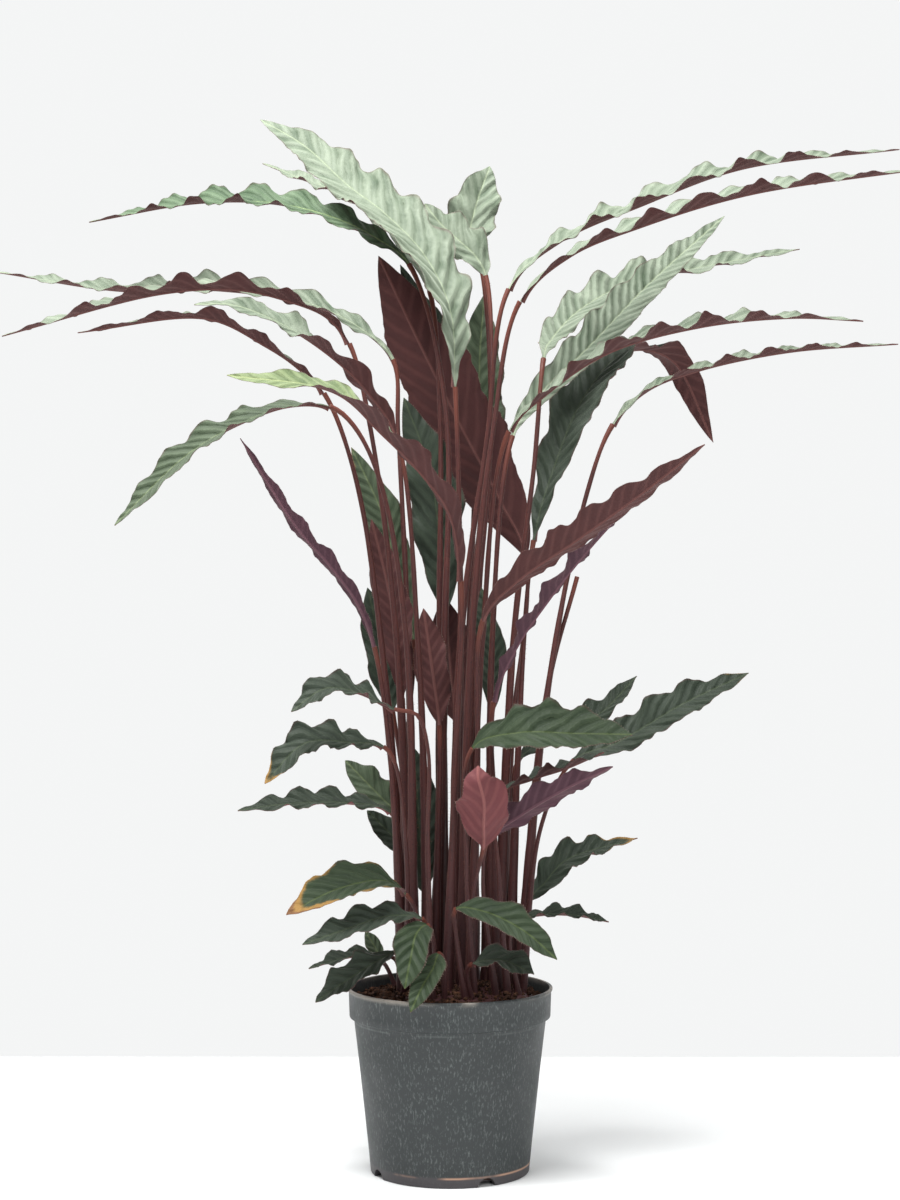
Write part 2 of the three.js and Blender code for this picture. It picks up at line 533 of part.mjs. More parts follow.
function direction(facing) {
  if (Array.isArray(facing)) return new THREE.Vector3(...facing).normalize();
  const angle = THREE.MathUtils.degToRad(facing);
  return new THREE.Vector3(0, -Math.sin(angle), Math.cos(angle));
}

// Direction of the upper side at share s of the blade, square to its path.
function upperSide(facing, s, along) {
  const place = s * (facing.length - 1);
  const low = Math.min(Math.floor(place), facing.length - 2);
  const up = direction(facing[low]).lerp(direction(facing[low + 1]), place - low);
  return up.addScaledVector(along, -up.dot(along)).normalize();
}

// Six points round the blade: both edges and the midrib, on the upper side and then below.
function bladeSection(leaf, path, start, s) {
  const { point, along } = path.at(start + s * (path.length - start));
  const up = upperSide(leaf.facing, s, along);
  const right = along.clone().cross(up);
  const shape = bladeShape(s);
  const end = THREE.MathUtils.lerp(COLLAR_HALF_WIDTH, TIP_HALF_WIDTH, s);
  const half = Math.max(end, (leaf.width / 2) * shape);
  const height = Math.min(WAVE_LIMIT, (WAVE_HEIGHT * leaf.width) / 2) * (leaf.swing ?? 1) * shape;
  const rib = RIB_THICKNESS + (2 * COLLAR_HALF_WIDTH - RIB_THICKNESS) * Math.exp(-s / RIB_TAPER) * (1 - s);
  const edge = (side) => {
    const wave = side * Math.cos(2 * Math.PI * leaf.waves * s);
    const reach = half * Math.cos(FOLD) * (1 + WAVE_REACH * wave * Math.min(1, shape));
    const lift = half * Math.sin(FOLD) * Math.min(1, shape) + height * wave;
    return point.clone().addScaledVector(right, side * reach).addScaledVector(up, lift);
  };
  const lower = (from, by) => from.clone().addScaledVector(up, -by);
  const [rightEdge, leftEdge] = [edge(1), edge(-1)];
  return [
    rightEdge, point, leftEdge,
    lower(leftEdge, BLADE_THICKNESS), lower(point, Math.max(rib, BLADE_THICKNESS)),
    lower(rightEdge, BLADE_THICKNESS),
  ];
}

function blade(leaf) {
  const path = leafPath(leaf);
  const start = collarDistance(leaf, path) + COLLAR_GAP / 2;
  const perWave = 2 * Math.ceil(FEWEST_STEPS / (2 * leaf.waves));
  const steps = leaf.waves * perWave;
  const sections = [];
  for (let i = 0; i <= steps; i += 1) sections.push(bladeSection(leaf, path, start, i / steps));
  return piece(leaf.name, closed(loft(sections)), leaf.colour, 0.7);
}

const plant = new THREE.Group();
plant.add(pot(), soil(), stems());
for (const leaf of [...UPPER_LEAVES, ...LOWER_LEAVES]) plant.add(blade(leaf));

export default plant;
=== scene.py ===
"""A potted furry feather calathea: fine waved blades, hairy stalks, peat and a moulded pot.

Millimetres in the rows and helpers, metres in every Blender mesh. The origin is the centre of the pot's
underside, +Z is up and the front looks along -Y.
"""
import logging
import math
from dataclasses import dataclass
from enum import Enum
from functools import partial

import bpy
import numpy as np
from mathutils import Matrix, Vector


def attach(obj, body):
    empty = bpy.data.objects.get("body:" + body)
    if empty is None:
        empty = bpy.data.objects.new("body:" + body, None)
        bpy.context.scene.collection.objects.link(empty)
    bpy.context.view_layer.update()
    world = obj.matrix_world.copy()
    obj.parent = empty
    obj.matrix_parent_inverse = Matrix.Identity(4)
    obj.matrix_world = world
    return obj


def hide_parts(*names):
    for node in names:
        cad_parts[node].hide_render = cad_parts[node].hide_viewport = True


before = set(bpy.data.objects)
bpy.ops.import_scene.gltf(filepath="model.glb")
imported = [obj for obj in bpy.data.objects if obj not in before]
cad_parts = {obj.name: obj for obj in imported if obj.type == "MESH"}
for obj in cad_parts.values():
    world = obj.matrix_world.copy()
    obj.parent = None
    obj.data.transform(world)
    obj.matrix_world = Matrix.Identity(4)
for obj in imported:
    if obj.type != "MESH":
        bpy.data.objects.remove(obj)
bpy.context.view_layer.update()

log = logging.getLogger("calathea")

MM = 0.001
# Level of the stalks' feet, inside the crown
FOOT_LEVEL = 150.0
# The crown: middle and half widths, in millimetres
CROWN_CENTRE = (9.0, 0.0)
CROWN_RADII = (69.0, 57.0)
# Edges of the pot stay sharp from this angle, in degrees
POT_CREASE = 35.0
# About where the peat's top lies
PEAT_LEVEL = 165.0
BODY = "root"

# Camera, worked out from the ellipses of the pot's rim and bottom
CAMERA_PLACE = (0.0, -2200.0, 528.0)
FOCAL_PIXELS = 2373.0
FRAME_HEIGHT_PIXELS = 1200.0
SENSOR_HEIGHT = 36.0

# Sockets of the colour mixing node
MIX_FACTOR, MIX_A, MIX_B, MIX_RESULT = 0, 6, 7, 2
COLOURS = {"output": MIX_RESULT, "data_type": "RGBA"}


class Slot(Enum):
    """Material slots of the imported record."""

    POT = "pot"
    SOIL = "soil"
    STALK = "stalk"
    PALE = "leaf_pale"
    DARK = "leaf_dark"
    MAROON = "leaf_maroon"


class Top(Enum):
    """Tones of a blade's upper side, from the young leaves at the top to the old ones at the foot; the pale
    tones at the top are partly painted sheen of the light from above, and the dark tones low down and inside
    the clump are partly painted shade.
    """

    SILVER = "silver"
    LIME = "lime"
    FRESH = "fresh"
    SAGE = "sage"
    MOSS = "moss"
    SLATE = "slate"


class Under(Enum):
    """Tones of a blade's underside."""

    MAROON = "maroon"
    PLUM = "plum"
    ROSE = "rose"


@dataclass(frozen=True)
class Leaf:
    """One leaf: its stalk from the crown to the collar, then its blade from the collar to the tip.

    The facing says where the upper side looks, from collar to tip: a number turns it about X, with 0 up,
    90 to the front and -90 to the back, and a triple is a direction. The swing is the waves' height as a
    share of the usual one, and wither says how far the blade has yellowed.
    """

    name: str
    foot: tuple
    stalk: list
    blade: list
    width: float
    waves: int
    facing: list
    slot: Slot
    top: Top
    under: Under = Under.MAROON
    wither: float = 0.0
    swing: float = 1.0


UPPER_LEAVES = (
    Leaf("right_1", (4, 12), [(10, 20, 490), (35, 25, 680)], [(55, 30, 820), (105, 60, 870), (185, 95, 910),
         (285, 120, 950), (445, 150, 975)], 44, 8, [0, 14, 10], Slot.PALE, Top.SILVER),
    Leaf("right_2", (10, -4), [(20, -5, 490), (40, 0, 685)], [(65, 0, 805), (110, -15, 845),
         (175, -30, 870), (270, -55, 895), (425, -75, 915)], 42, 8, [15, 8], Slot.MAROON, Top.SILVER),
    Leaf("right_3", (40, 20), [(40, 45, 490)], [(60, 70, 685), (85, 90, 725), (135, 120, 775),
         (195, 165, 840), (280, 220, 920)], 42, 8, [65, 50], Slot.PALE, Top.SILVER, swing=0.7),
    Leaf("right_4", (44, 28), [(60, 45, 490), (80, 60, 655)], [(90, 85, 760), (100, 140, 785),
         (130, 190, 820), (185, 250, 855), (270, 300, 880), (375, 345, 905)], 46, 8, [40, 28], Slot.PALE,
         Top.SILVER),
    Leaf("right_5", (16, 6), [(30, 0, 490)], [(55, 5, 685), (90, -5, 720), (145, -25, 755), (225, -55, 775),
         (305, -85, 780), (365, -105, 775)], 42, 8, [15, 8], Slot.PALE, Top.SILVER),
    Leaf("right_6", (56, 14), [(65, 40, 395)], [(80, 70, 585), (100, 90, 655), (130, 115, 725),
         (175, 160, 775), (225, 200, 770), (270, 235, 690)], 54, 7,
         [(-0.6, -0.6, 0.2), (-0.4, -0.8, 0.4), 5, -70], Slot.DARK, Top.SLATE, swing=0.7),
    Leaf("right_7", (62, 4), [(90, 20, 435), (130, 50, 630)], [(155, 60, 695), (190, 80, 730),
         (240, 90, 750), (330, 110, 770), (440, 130, 780)], 26, 7, [5, 5], Slot.MAROON, Top.SILVER),
    Leaf("right_8", (18, -26), [(25, -40, 380)], [(30, -60, 510), (60, -90, 545), (110, -125, 580),
         (165, -165, 620), (215, -195, 660)], 42, 7, [-25, -20], Slot.MAROON, Top.SLATE, swing=0.5),
    Leaf("right_9", (44, -14), [(40, -20, 345)], [(40, -30, 435), (60, -45, 485), (90, -60, 530),
         (125, -80, 575), (170, -100, 625)], 28, 6, [0, 0], Slot.MAROON, Top.SLATE, Under.PLUM),
    Leaf("top_1", (0, 20), [(10, 40, 490)], [(5, 50, 730), (0, 60, 805), (-25, 80, 860), (-65, 105, 905),
         (-100, 130, 935), (-145, 160, 980), (-190, 180, 1010)], 68, 8,
         [(0.85, -0.5, 0.1), (0.6, -0.7, 0.4), (0.4, -0.75, 0.5), (0.3, -0.9, 0.4), (0.2, -0.9, 0.4)],
         Slot.PALE, Top.SILVER, swing=0.7),
    Leaf("top_2", (-8, 34), [(-10, 70, 490), (-10, 100, 720)], [(-20, 120, 830), (-50, 165, 890),
         (-100, 230, 940), (-155, 290, 970), (-200, 335, 995)], 36, 6, [30, 20], Slot.PALE, Top.SILVER),
    Leaf("top_3", (-14, 26), [(-5, 50, 490), (-5, 80, 720)], [(-40, 110, 855), (-70, 115, 880),
         (-110, 115, 900), (-170, 115, 915), (-245, 110, 915), (-350, 100, 895)], 42, 8, [50, 30, 8],
         Slot.PALE, Top.FRESH),
    Leaf("top_4", (12, 32), [(20, 65, 490), (40, 95, 740)], [(35, 120, 845), (25, 125, 865), (10, 130, 880),
         (-10, 140, 900), (-25, 145, 920)], 44, 3, [60, 50], Slot.PALE, Top.SILVER),
    Leaf("top_5", (22, 42), [(25, 95, 490), (40, 130, 705)], [(30, 170, 865), (20, 175, 890),
         (25, 180, 920), (40, 190, 965)], 52, 3, [85, 80], Slot.PALE, Top.SILVER),
    Leaf("top_6", (10, 46), [(20, 130, 430)], [(25, 200, 630), (30, 210, 700), (30, 215, 770),
         (35, 220, 840)], 52, 5, [85, 85], Slot.DARK, Top.SAGE),
    Leaf("top_7", (46, 34), [(60, 90, 395)], [(75, 150, 570), (50, 145, 625), (10, 135, 700),
         (-30, 130, 780), (-70, 125, 865)], 82, 4, [-80, -85], Slot.MAROON, Top.SLATE, swing=0.3),
    Leaf("top_8", (0, 44), [(15, 130, 430)], [(20, 190, 700), (-5, 185, 775), (-30, 185, 820),
         (-50, 185, 865)], 34, 3, [85, 85], Slot.DARK, Top.SLATE),
    Leaf("left_1", (-36, 12), [(-50, 25, 490), (-75, 35, 690)], [(-95, 40, 770), (-115, 40, 795),
         (-150, 40, 810), (-200, 30, 820), (-270, 20, 815), (-410, -30, 770)], 44, 7, [-8, 0, 4],
         Slot.MAROON, Top.SILVER),
    Leaf("left_2", (-34, 28), [(-40, 60, 490), (-50, 85, 690)], [(-55, 90, 760), (-85, 95, 790),
         (-135, 100, 815), (-225, 110, 830), (-320, 115, 830), (-445, 125, 850)], 42, 8, [30, 15],
         Slot.PALE, Top.SILVER),
    Leaf("left_3", (-20, 4), [(-30, 10, 490)], [(-50, 20, 680), (-75, 10, 720), (-105, 0, 750),
         (-150, -10, 780), (-200, -15, 800), (-235, -20, 800)], 36, 5, [-30, -10, 35, 40], Slot.PALE,
         Top.SILVER),
    Leaf("left_4", (-40, 18), [(-60, 35, 445), (-90, 55, 645)], [(-120, 60, 725), (-145, 60, 750),
         (-175, 60, 770), (-230, 50, 795), (-350, 30, 780)], 28, 5, [-8, -4], Slot.MAROON, Top.SILVER),
    Leaf("left_5", (-4, -22), [(5, -40, 380)], [(10, -60, 545), (0, -75, 605), (-25, -90, 640),
         (-60, -105, 675), (-100, -115, 710), (-195, -125, 725)], 46, 6,
         [(0.9, 0.35, 0.3), (0.7, 0.4, 0.6), (0.2, -0.2, 1), (0, -0.9, 0.5)], Slot.MAROON, Top.LIME,
         swing=0.6),
    Leaf("left_6", (-34, -6), [(-40, -10, 490), (-65, -20, 640), (-90, -25, 690)], [(-110, -30, 705),
         (-145, -40, 705), (-185, -55, 690), (-235, -65, 660), (-300, -80, 595)], 38, 6, [10, 25, 35],
         Slot.DARK, Top.SAGE, swing=0.7),
    Leaf("left_7", (-42, 2), [(-55, -5, 380)], [(-70, -10, 485), (-85, -20, 525), (-110, -30, 560),
         (-140, -40, 595), (-190, -45, 675)], 18, 6, [-30, -30], Slot.MAROON, Top.SLATE, Under.PLUM),
    Leaf("inner_1", (-30, 34), [(-40, 60, 395)], [(-35, 75, 490), (-50, 85, 545), (-65, 85, 610),
         (-95, 85, 675)], 40, 3, [80, 80], Slot.DARK, Top.SAGE, wither=0.3, swing=0.6),
    Leaf("inner_2", (-4, 42), [(-5, 80, 395)], [(-5, 95, 515), (-10, 100, 585), (-20, 105, 655),
         (-45, 110, 725)], 54, 4, [80, 80], Slot.DARK, Top.SLATE),
    Leaf("inner_3", (-38, 12), [(-40, 30, 340)], [(-45, 45, 435), (-50, 50, 490), (-60, 55, 545),
         (-75, 60, 605)], 36, 3, [-80, -80], Slot.MAROON, Top.SLATE),
    Leaf("inner_4", (-16, 14), [(-10, 25, 340)], [(-10, 35, 410), (-15, 35, 450), (-25, 40, 520)], 34, 2,
         [-80, -80], Slot.MAROON, Top.SLATE),
    Leaf("inner_5", (34, 28), [(35, 45, 340)], [(40, 60, 420), (40, 60, 470), (30, 65, 540)], 28, 2,
         [80, 80], Slot.DARK, Top.SLATE),
    Leaf("inner_6", (-34, 32), [(-45, 70, 355)], [(-55, 85, 420), (-65, 90, 475), (-80, 100, 540)], 36, 2,
         [80, 80], Slot.DARK, Top.SLATE),
    Leaf("inner_7", (-22, 36), [(-20, 55, 200), (-20, 80, 230)], [(-25, 90, 245), (-30, 95, 310),
         (-35, 100, 385)], 50, 2, [80, 80], Slot.DARK, Top.SLATE),
    Leaf("inner_8", (6, 40), [(5, 80, 330)], [(5, 100, 410), (0, 110, 470), (-5, 110, 530)], 50, 2,
         [-80, -80], Slot.MAROON, Top.SLATE),
)

LOWER_LEAVES = (
    Leaf("low_left_1", (-16, -32), [(-20, -45, 305), (-20, -60, 395), (-30, -65, 425)], [(-50, -70, 430),
         (-80, -85, 445), (-110, -100, 450), (-140, -110, 430)], 34, 4, [20, 45], Slot.DARK, Top.SLATE),
    Leaf("low_left_2", (-40, -12), [(-40, -30, 300), (-50, -45, 380)], [(-60, -50, 395), (-90, -65, 400),
         (-130, -80, 400), (-165, -90, 365)], 38, 5, [30, 45], Slot.DARK, Top.SLATE, wither=0.5),
    Leaf("low_left_3", (-44, 6), [(-45, 10, 285)], [(-55, 10, 330), (-95, 0, 340), (-150, -10, 340),
         (-195, -20, 335)], 32, 5, [25, 30], Slot.DARK, Top.SLATE, Under.ROSE),
    Leaf("low_left_4", (-38, 22), [(-40, 45, 280)], [(-50, 50, 325), (-65, 55, 340), (-85, 60, 360),
         (-100, 65, 375)], 32, 3, [60, 60], Slot.PALE, Top.SAGE),
    Leaf("low_left_5", (-28, 38), [(-35, 65, 250)], [(-40, 75, 280), (-55, 85, 300), (-80, 90, 325)], 28, 2,
         [60, 60], Slot.DARK, Top.SLATE),
    Leaf("low_left_6", (-30, -28), [(-30, -35, 240)], [(-40, -40, 260), (-60, -60, 275), (-100, -80, 270),
         (-145, -100, 250)], 48, 4, [30, 35], Slot.DARK, Top.MOSS, wither=0.8, swing=0.3),
    Leaf("low_left_7", (-22, -36), [(-20, -45, 225)], [(-25, -55, 240), (-55, -75, 245), (-95, -95, 235),
         (-130, -110, 225)], 32, 4, [35, 40], Slot.DARK, Top.SLATE),
    Leaf("low_left_8", (-44, -12), [(-40, -35, 215)], [(-50, -50, 210), (-70, -60, 200), (-95, -70, 185),
         (-120, -85, 170)], 34, 3, [30, 30], Slot.DARK, Top.SLATE),
    Leaf("low_left_9", (-46, 4), [(-50, -5, 195)], [(-60, -10, 200), (-90, -15, 200), (-130, -20, 190)], 22,
         3, [20, 20], Slot.DARK, Top.SLATE),
    Leaf("low_left_10", (-44, 20), [(-60, 25, 185)], [(-65, 30, 190), (-70, 35, 200), (-80, 40, 215)], 16,
         1, [60, 60], Slot.PALE, Top.SAGE),
    Leaf("low_front_1", (-16, -40), [(-15, -50, 220)], [(-20, -60, 235), (-30, -80, 230), (-35, -95, 210),
         (-40, -105, 185)], 34, 2, [40, 50], Slot.DARK, Top.MOSS, wither=0.2, swing=0.4),
    Leaf("low_front_2", (-6, -44), [(-5, -55, 200)], [(-10, -65, 210), (-15, -85, 200), (-25, -100, 185),
         (-35, -110, 165)], 26, 2, [40, 50], Slot.DARK, Top.MOSS, wither=0.2, swing=0.4),
    Leaf("low_front_3", (16, -42), [(5, -55, 230)], [(5, -65, 250), (30, -80, 250), (65, -95, 235),
         (95, -100, 210)], 34, 3, [45, 45], Slot.DARK, Top.MOSS, swing=0.6),
    Leaf("low_front_4", (24, -40), [(15, -50, 190)], [(20, -60, 200), (45, -70, 205), (75, -85, 195)], 34,
         2, [30, 30], Slot.DARK, Top.SLATE),
    Leaf("low_front_5", (18, -32), [(20, -45, 255)], [(30, -60, 305), (30, -80, 325), (30, -95, 350),
         (25, -100, 370), (25, -90, 380)], 50, 2, [-85, -95, -140], Slot.MAROON, Top.SLATE, Under.ROSE,
         swing=0.4),
    Leaf("low_right_1", (24, -36), [(15, -50, 295)], [(20, -70, 395), (60, -90, 410), (110, -100, 410),
         (160, -115, 410)], 58, 5, [45, 45], Slot.DARK, Top.MOSS, wither=0.2, swing=0.5),
    Leaf("low_right_2", (66, -4), [(85, 0, 320)], [(115, 0, 380), (155, 10, 395), (215, 15, 430),
         (280, 25, 460)], 40, 5, [50, 45], Slot.DARK, Top.SLATE, wither=0.3),
    Leaf("low_right_3", (50, 24), [(60, 45, 310)], [(65, 60, 375), (105, 70, 400), (145, 80, 420),
         (180, 90, 455)], 34, 4, [30, 30], Slot.DARK, Top.SLATE),
    Leaf("low_right_4", (44, -30), [(30, -40, 275)], [(35, -45, 310), (65, -60, 335), (105, -75, 360),
         (145, -85, 380)], 32, 4, [-60, -40], Slot.MAROON, Top.SLATE, Under.PLUM),
    Leaf("low_right_5", (54, -24), [(45, -30, 270)], [(45, -30, 350), (75, -35, 365), (105, -40, 375),
         (140, -40, 390)], 32, 4, [0, 0], Slot.DARK, Top.SLATE),
    Leaf("low_right_6", (66, 22), [(65, 40, 205)], [(70, 45, 240), (90, 50, 260), (110, 60, 280),
         (180, 80, 300)], 34, 5, [50, 40, 10], Slot.DARK, Top.SLATE, wither=0.6),
    Leaf("low_right_7", (66, -18), [(55, -20, 220)], [(65, -20, 235), (85, -25, 240), (115, -30, 240),
         (145, -35, 235)], 24, 4, [20, 15], Slot.DARK, Top.SLATE),
)

# The stalk whose blade was cut off: foot, points passed and top
BARE_STALK = ((64, 18), [(90, 30, 435)], (120, 40, 550))


def linear(colour: str) -> tuple[float, float, float, float]:
    """Turns an sRGB hex colour to linear values.

    Args:
        colour: six hex digits, such as "3e4143".

    Returns:
        Red, green, blue and full alpha.
    """
    values = [int(colour[i:i + 2], 16) / 255 for i in (0, 2, 4)]
    return (*[v / 12.92 if v <= 0.04045 else ((v + 0.055) / 1.055) ** 2.4 for v in values], 1.0)


def add_node(tree: bpy.types.NodeTree, kind: str, inputs: dict, output: int | str | None = 0,
             ramp: list | None = None, **settings: object) -> bpy.types.NodeSocket | None:
    """Adds a node with its settings and links.

    Args:
        tree: the material's node tree.
        kind: the node's type, without the word ShaderNode in front.
        inputs: a value or a linked socket for each input's name or number.
        output: name or number of the output wanted, or None.
        ramp: stops of a colour ramp, as (place, hex colour), the two end stops first.
        **settings: properties of the node.

    Returns:
        The wanted output socket, or None.
    """
    node = tree.nodes.new("ShaderNode" + kind)
    for name, value in settings.items():
        setattr(node, name, value)
    for name, value in inputs.items():
        if isinstance(value, bpy.types.NodeSocket):
            tree.links.new(value, node.inputs[name])
        else:
            node.inputs[name].default_value = value
    if ramp:
        stops = node.color_ramp.elements
        for place, _ in ramp[2:]:
            stops.new(place)
        for stop, (place, shade) in zip(stops, ramp):
            stop.position = place
            stop.color = linear(shade)
    return None if output is None else node.outputs[output]


def new_material(name: str) -> bpy.types.Material:
    """Makes an empty node material.

    Args:
        name: the material's name.

    Returns:
        The material, with no nodes in it.
    """
    material = bpy.data.materials.new(name)
    material.use_nodes = True
    material.node_tree.nodes.clear()
    return material


def build_mesh(name: str, vertices: np.ndarray, faces: list, materials: list,
               slots: list | None = None, marks: dict | None = None,
               crease: float = 50.0) -> bpy.types.Object:
    """Makes a smooth-shaded mesh object from millimetre points.

    Args:
        name: the object's name.
        vertices: rows of x, y and z in millimetres.
        faces: rows of vertex numbers.
        materials: the materials, in slot order.
        slots: material slot of each face, or None for the first.
        marks: vector attributes for each vertex, by name.
        crease: the angle, in degrees, from which an edge stays sharp.

    Returns:
        The linked object.
    """
    mesh = bpy.data.meshes.new(name)
    mesh.from_pydata((np.asarray(vertices) * MM).tolist(), [], faces)
    for material in materials:
        mesh.materials.append(material)
    mesh.polygons.foreach_set("use_smooth", [True] * len(mesh.polygons))
    if slots is not None:
        mesh.polygons.foreach_set("material_index", np.asarray(slots, dtype=np.int32))
    for key, values in (marks or {}).items():
        layer = mesh.attributes.new(key, "FLOAT_VECTOR", "POINT")
        layer.data.foreach_set("vector", np.asarray(values, dtype=np.float32).ravel())
    mesh.update()
    mesh.set_sharp_from_angle(angle=math.radians(crease))
    piece = bpy.data.objects.new(name, mesh)
    bpy.context.scene.collection.objects.link(piece)
    return piece


def place_piece(piece: bpy.types.Object, slot: Slot, *nodes: str) -> None:
    """Puts a piece on the body in place of its nodes and reports it.

    Args:
        piece: the finished object.
        slot: the record's material slot; not used.
        *nodes: the nodes that it stands for.
    """
    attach(piece, BODY)
    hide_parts(*nodes)
    log.info("%s: %d faces", piece.name, len(piece.data.polygons))


def unit(vectors: np.ndarray) -> np.ndarray:
    """Scales each row to length one.

    Args:
        vectors: rows of x, y and z.

    Returns:
        The same directions, one long.
    """
    return vectors / np.maximum(np.linalg.norm(vectors, axis=-1, keepdims=True), 1e-9)


def turned_faces(rows: int, turns: int, foot: int, head: int) -> list:
    """Joins rings of vertices to a closed surface, with a fan at each end.

    Args:
        rows: how many rings there are.
        turns: vertices in each ring.
        foot: vertex in the middle of the first ring.
        head: vertex in the middle of the last ring.

    Returns:
        The faces.
    """
    around = [(i, (i + 1) % turns) for i in range(turns)]
    last = (rows - 1) * turns
    faces = [[r * turns + i, r * turns + j, (r + 1) * turns + j, (r + 1) * turns + i]
             for r in range(rows - 1) for i, j in around]
    return faces + [[foot, j, i] for i, j in around] + [[head, last + i, last + j] for i, j in around]


def needles(roots: np.ndarray, ways: np.ndarray, lengths: np.ndarray, radius: float,
            first: int) -> tuple[np.ndarray, list]:
    """Makes closed three-sided hairs, because hair curves aren't kept as meshes.

    Args:
        roots: where each hair grows.
        ways: its direction, one long.
        lengths: its length in millimetres.
        radius: its radius at the root in millimetres.
        first: number of the first vertex.

    Returns:
        The vertices and the faces.
    """
    helper = np.where(np.abs(ways[:, 2:3]) > 0.9, [[1.0, 0.0, 0.0]], [[0.0, 0.0, 1.0]])
    side = unit(np.cross(ways, helper))
    front = np.cross(ways, side)
    corners = [roots - 0.1 * ways + radius * (math.cos(a) * side + math.sin(a) * front)
               for a in (0.0, 2 * math.pi / 3, 4 * math.pi / 3)]
    points = np.stack([*corners, roots + ways * lengths[:, None]], axis=1).reshape(-1, 3)
    base = first + 4 * np.arange(len(roots))
    faces = np.stack([base, base + 1, base + 3, base + 1, base + 2, base + 3, base + 2, base, base + 3,
                      base, base + 2, base + 1], axis=1).reshape(-1, 3)
    return points, faces.tolist()


class Path:
    """A centripetal curve through points, read by the distance along it."""

    SAMPLES = 240

    def __init__(self, points: list) -> None:
        """Measures the curve.

        Args:
            points: rows of x, y and z in millimetres.
        """
        self.points = np.array(points, dtype=float)
        self.grid = np.linspace(0.0, 1.0, self.SAMPLES + 1)
        steps = np.linalg.norm(np.diff(self.points_at(self.grid), axis=0), axis=1)
        self.lengths = np.concatenate([[0.0], np.cumsum(steps)])
        self.length = float(self.lengths[-1])

    def points_at(self, share: np.ndarray) -> np.ndarray:
        """Finds points by the curve's own parameter.

        Args:
            share: values from 0 to 1.

        Returns:
            Rows of x, y and z.
        """
        rows = self.points
        last = len(rows) - 1
        padded = np.concatenate([[2 * rows[0] - rows[1]], rows, [2 * rows[-1] - rows[-2]]])
        place = np.clip(share, 0.0, 1.0) * last
        low = np.minimum(place.astype(int), last - 1)
        w = (place - low)[:, None]
        x0, x1, x2, x3 = (padded[low + k] for k in range(4))
        d0, d1, d2 = (np.sqrt(np.linalg.norm(b - a, axis=1, keepdims=True))
                      for a, b in ((x0, x1), (x1, x2), (x2, x3)))
        t1 = ((x1 - x0) / d0 - (x2 - x0) / (d0 + d1) + (x2 - x1) / d1) * d1
        t2 = ((x2 - x1) / d1 - (x3 - x1) / (d1 + d2) + (x3 - x2) / d2) * d1
        c2 = -3 * x1 + 3 * x2 - 2 * t1 - t2
        c3 = 2 * x1 - 2 * x2 + t1 + t2
        return x1 + t1 * w + c2 * w * w + c3 * w ** 3

    def distance_at(self, share: float) -> float:
        """Gives the distance along the path at the curve's own parameter."""
        return float(np.interp(share, self.grid, self.lengths))

    def at(self, distances: np.ndarray) -> tuple[np.ndarray, np.ndarray]:
        """Finds points and directions by distance.

        Args:
            distances: millimetres from the start.

        Returns:
            The points, and the directions along the path.
        """
        share = np.interp(distances, self.lengths, self.grid)
        ahead = self.points_at(np.clip(share + 1e-4, 0, 1)) - self.points_at(np.clip(share - 1e-4, 0, 1))
        return self.points_at(share), unit(ahead)


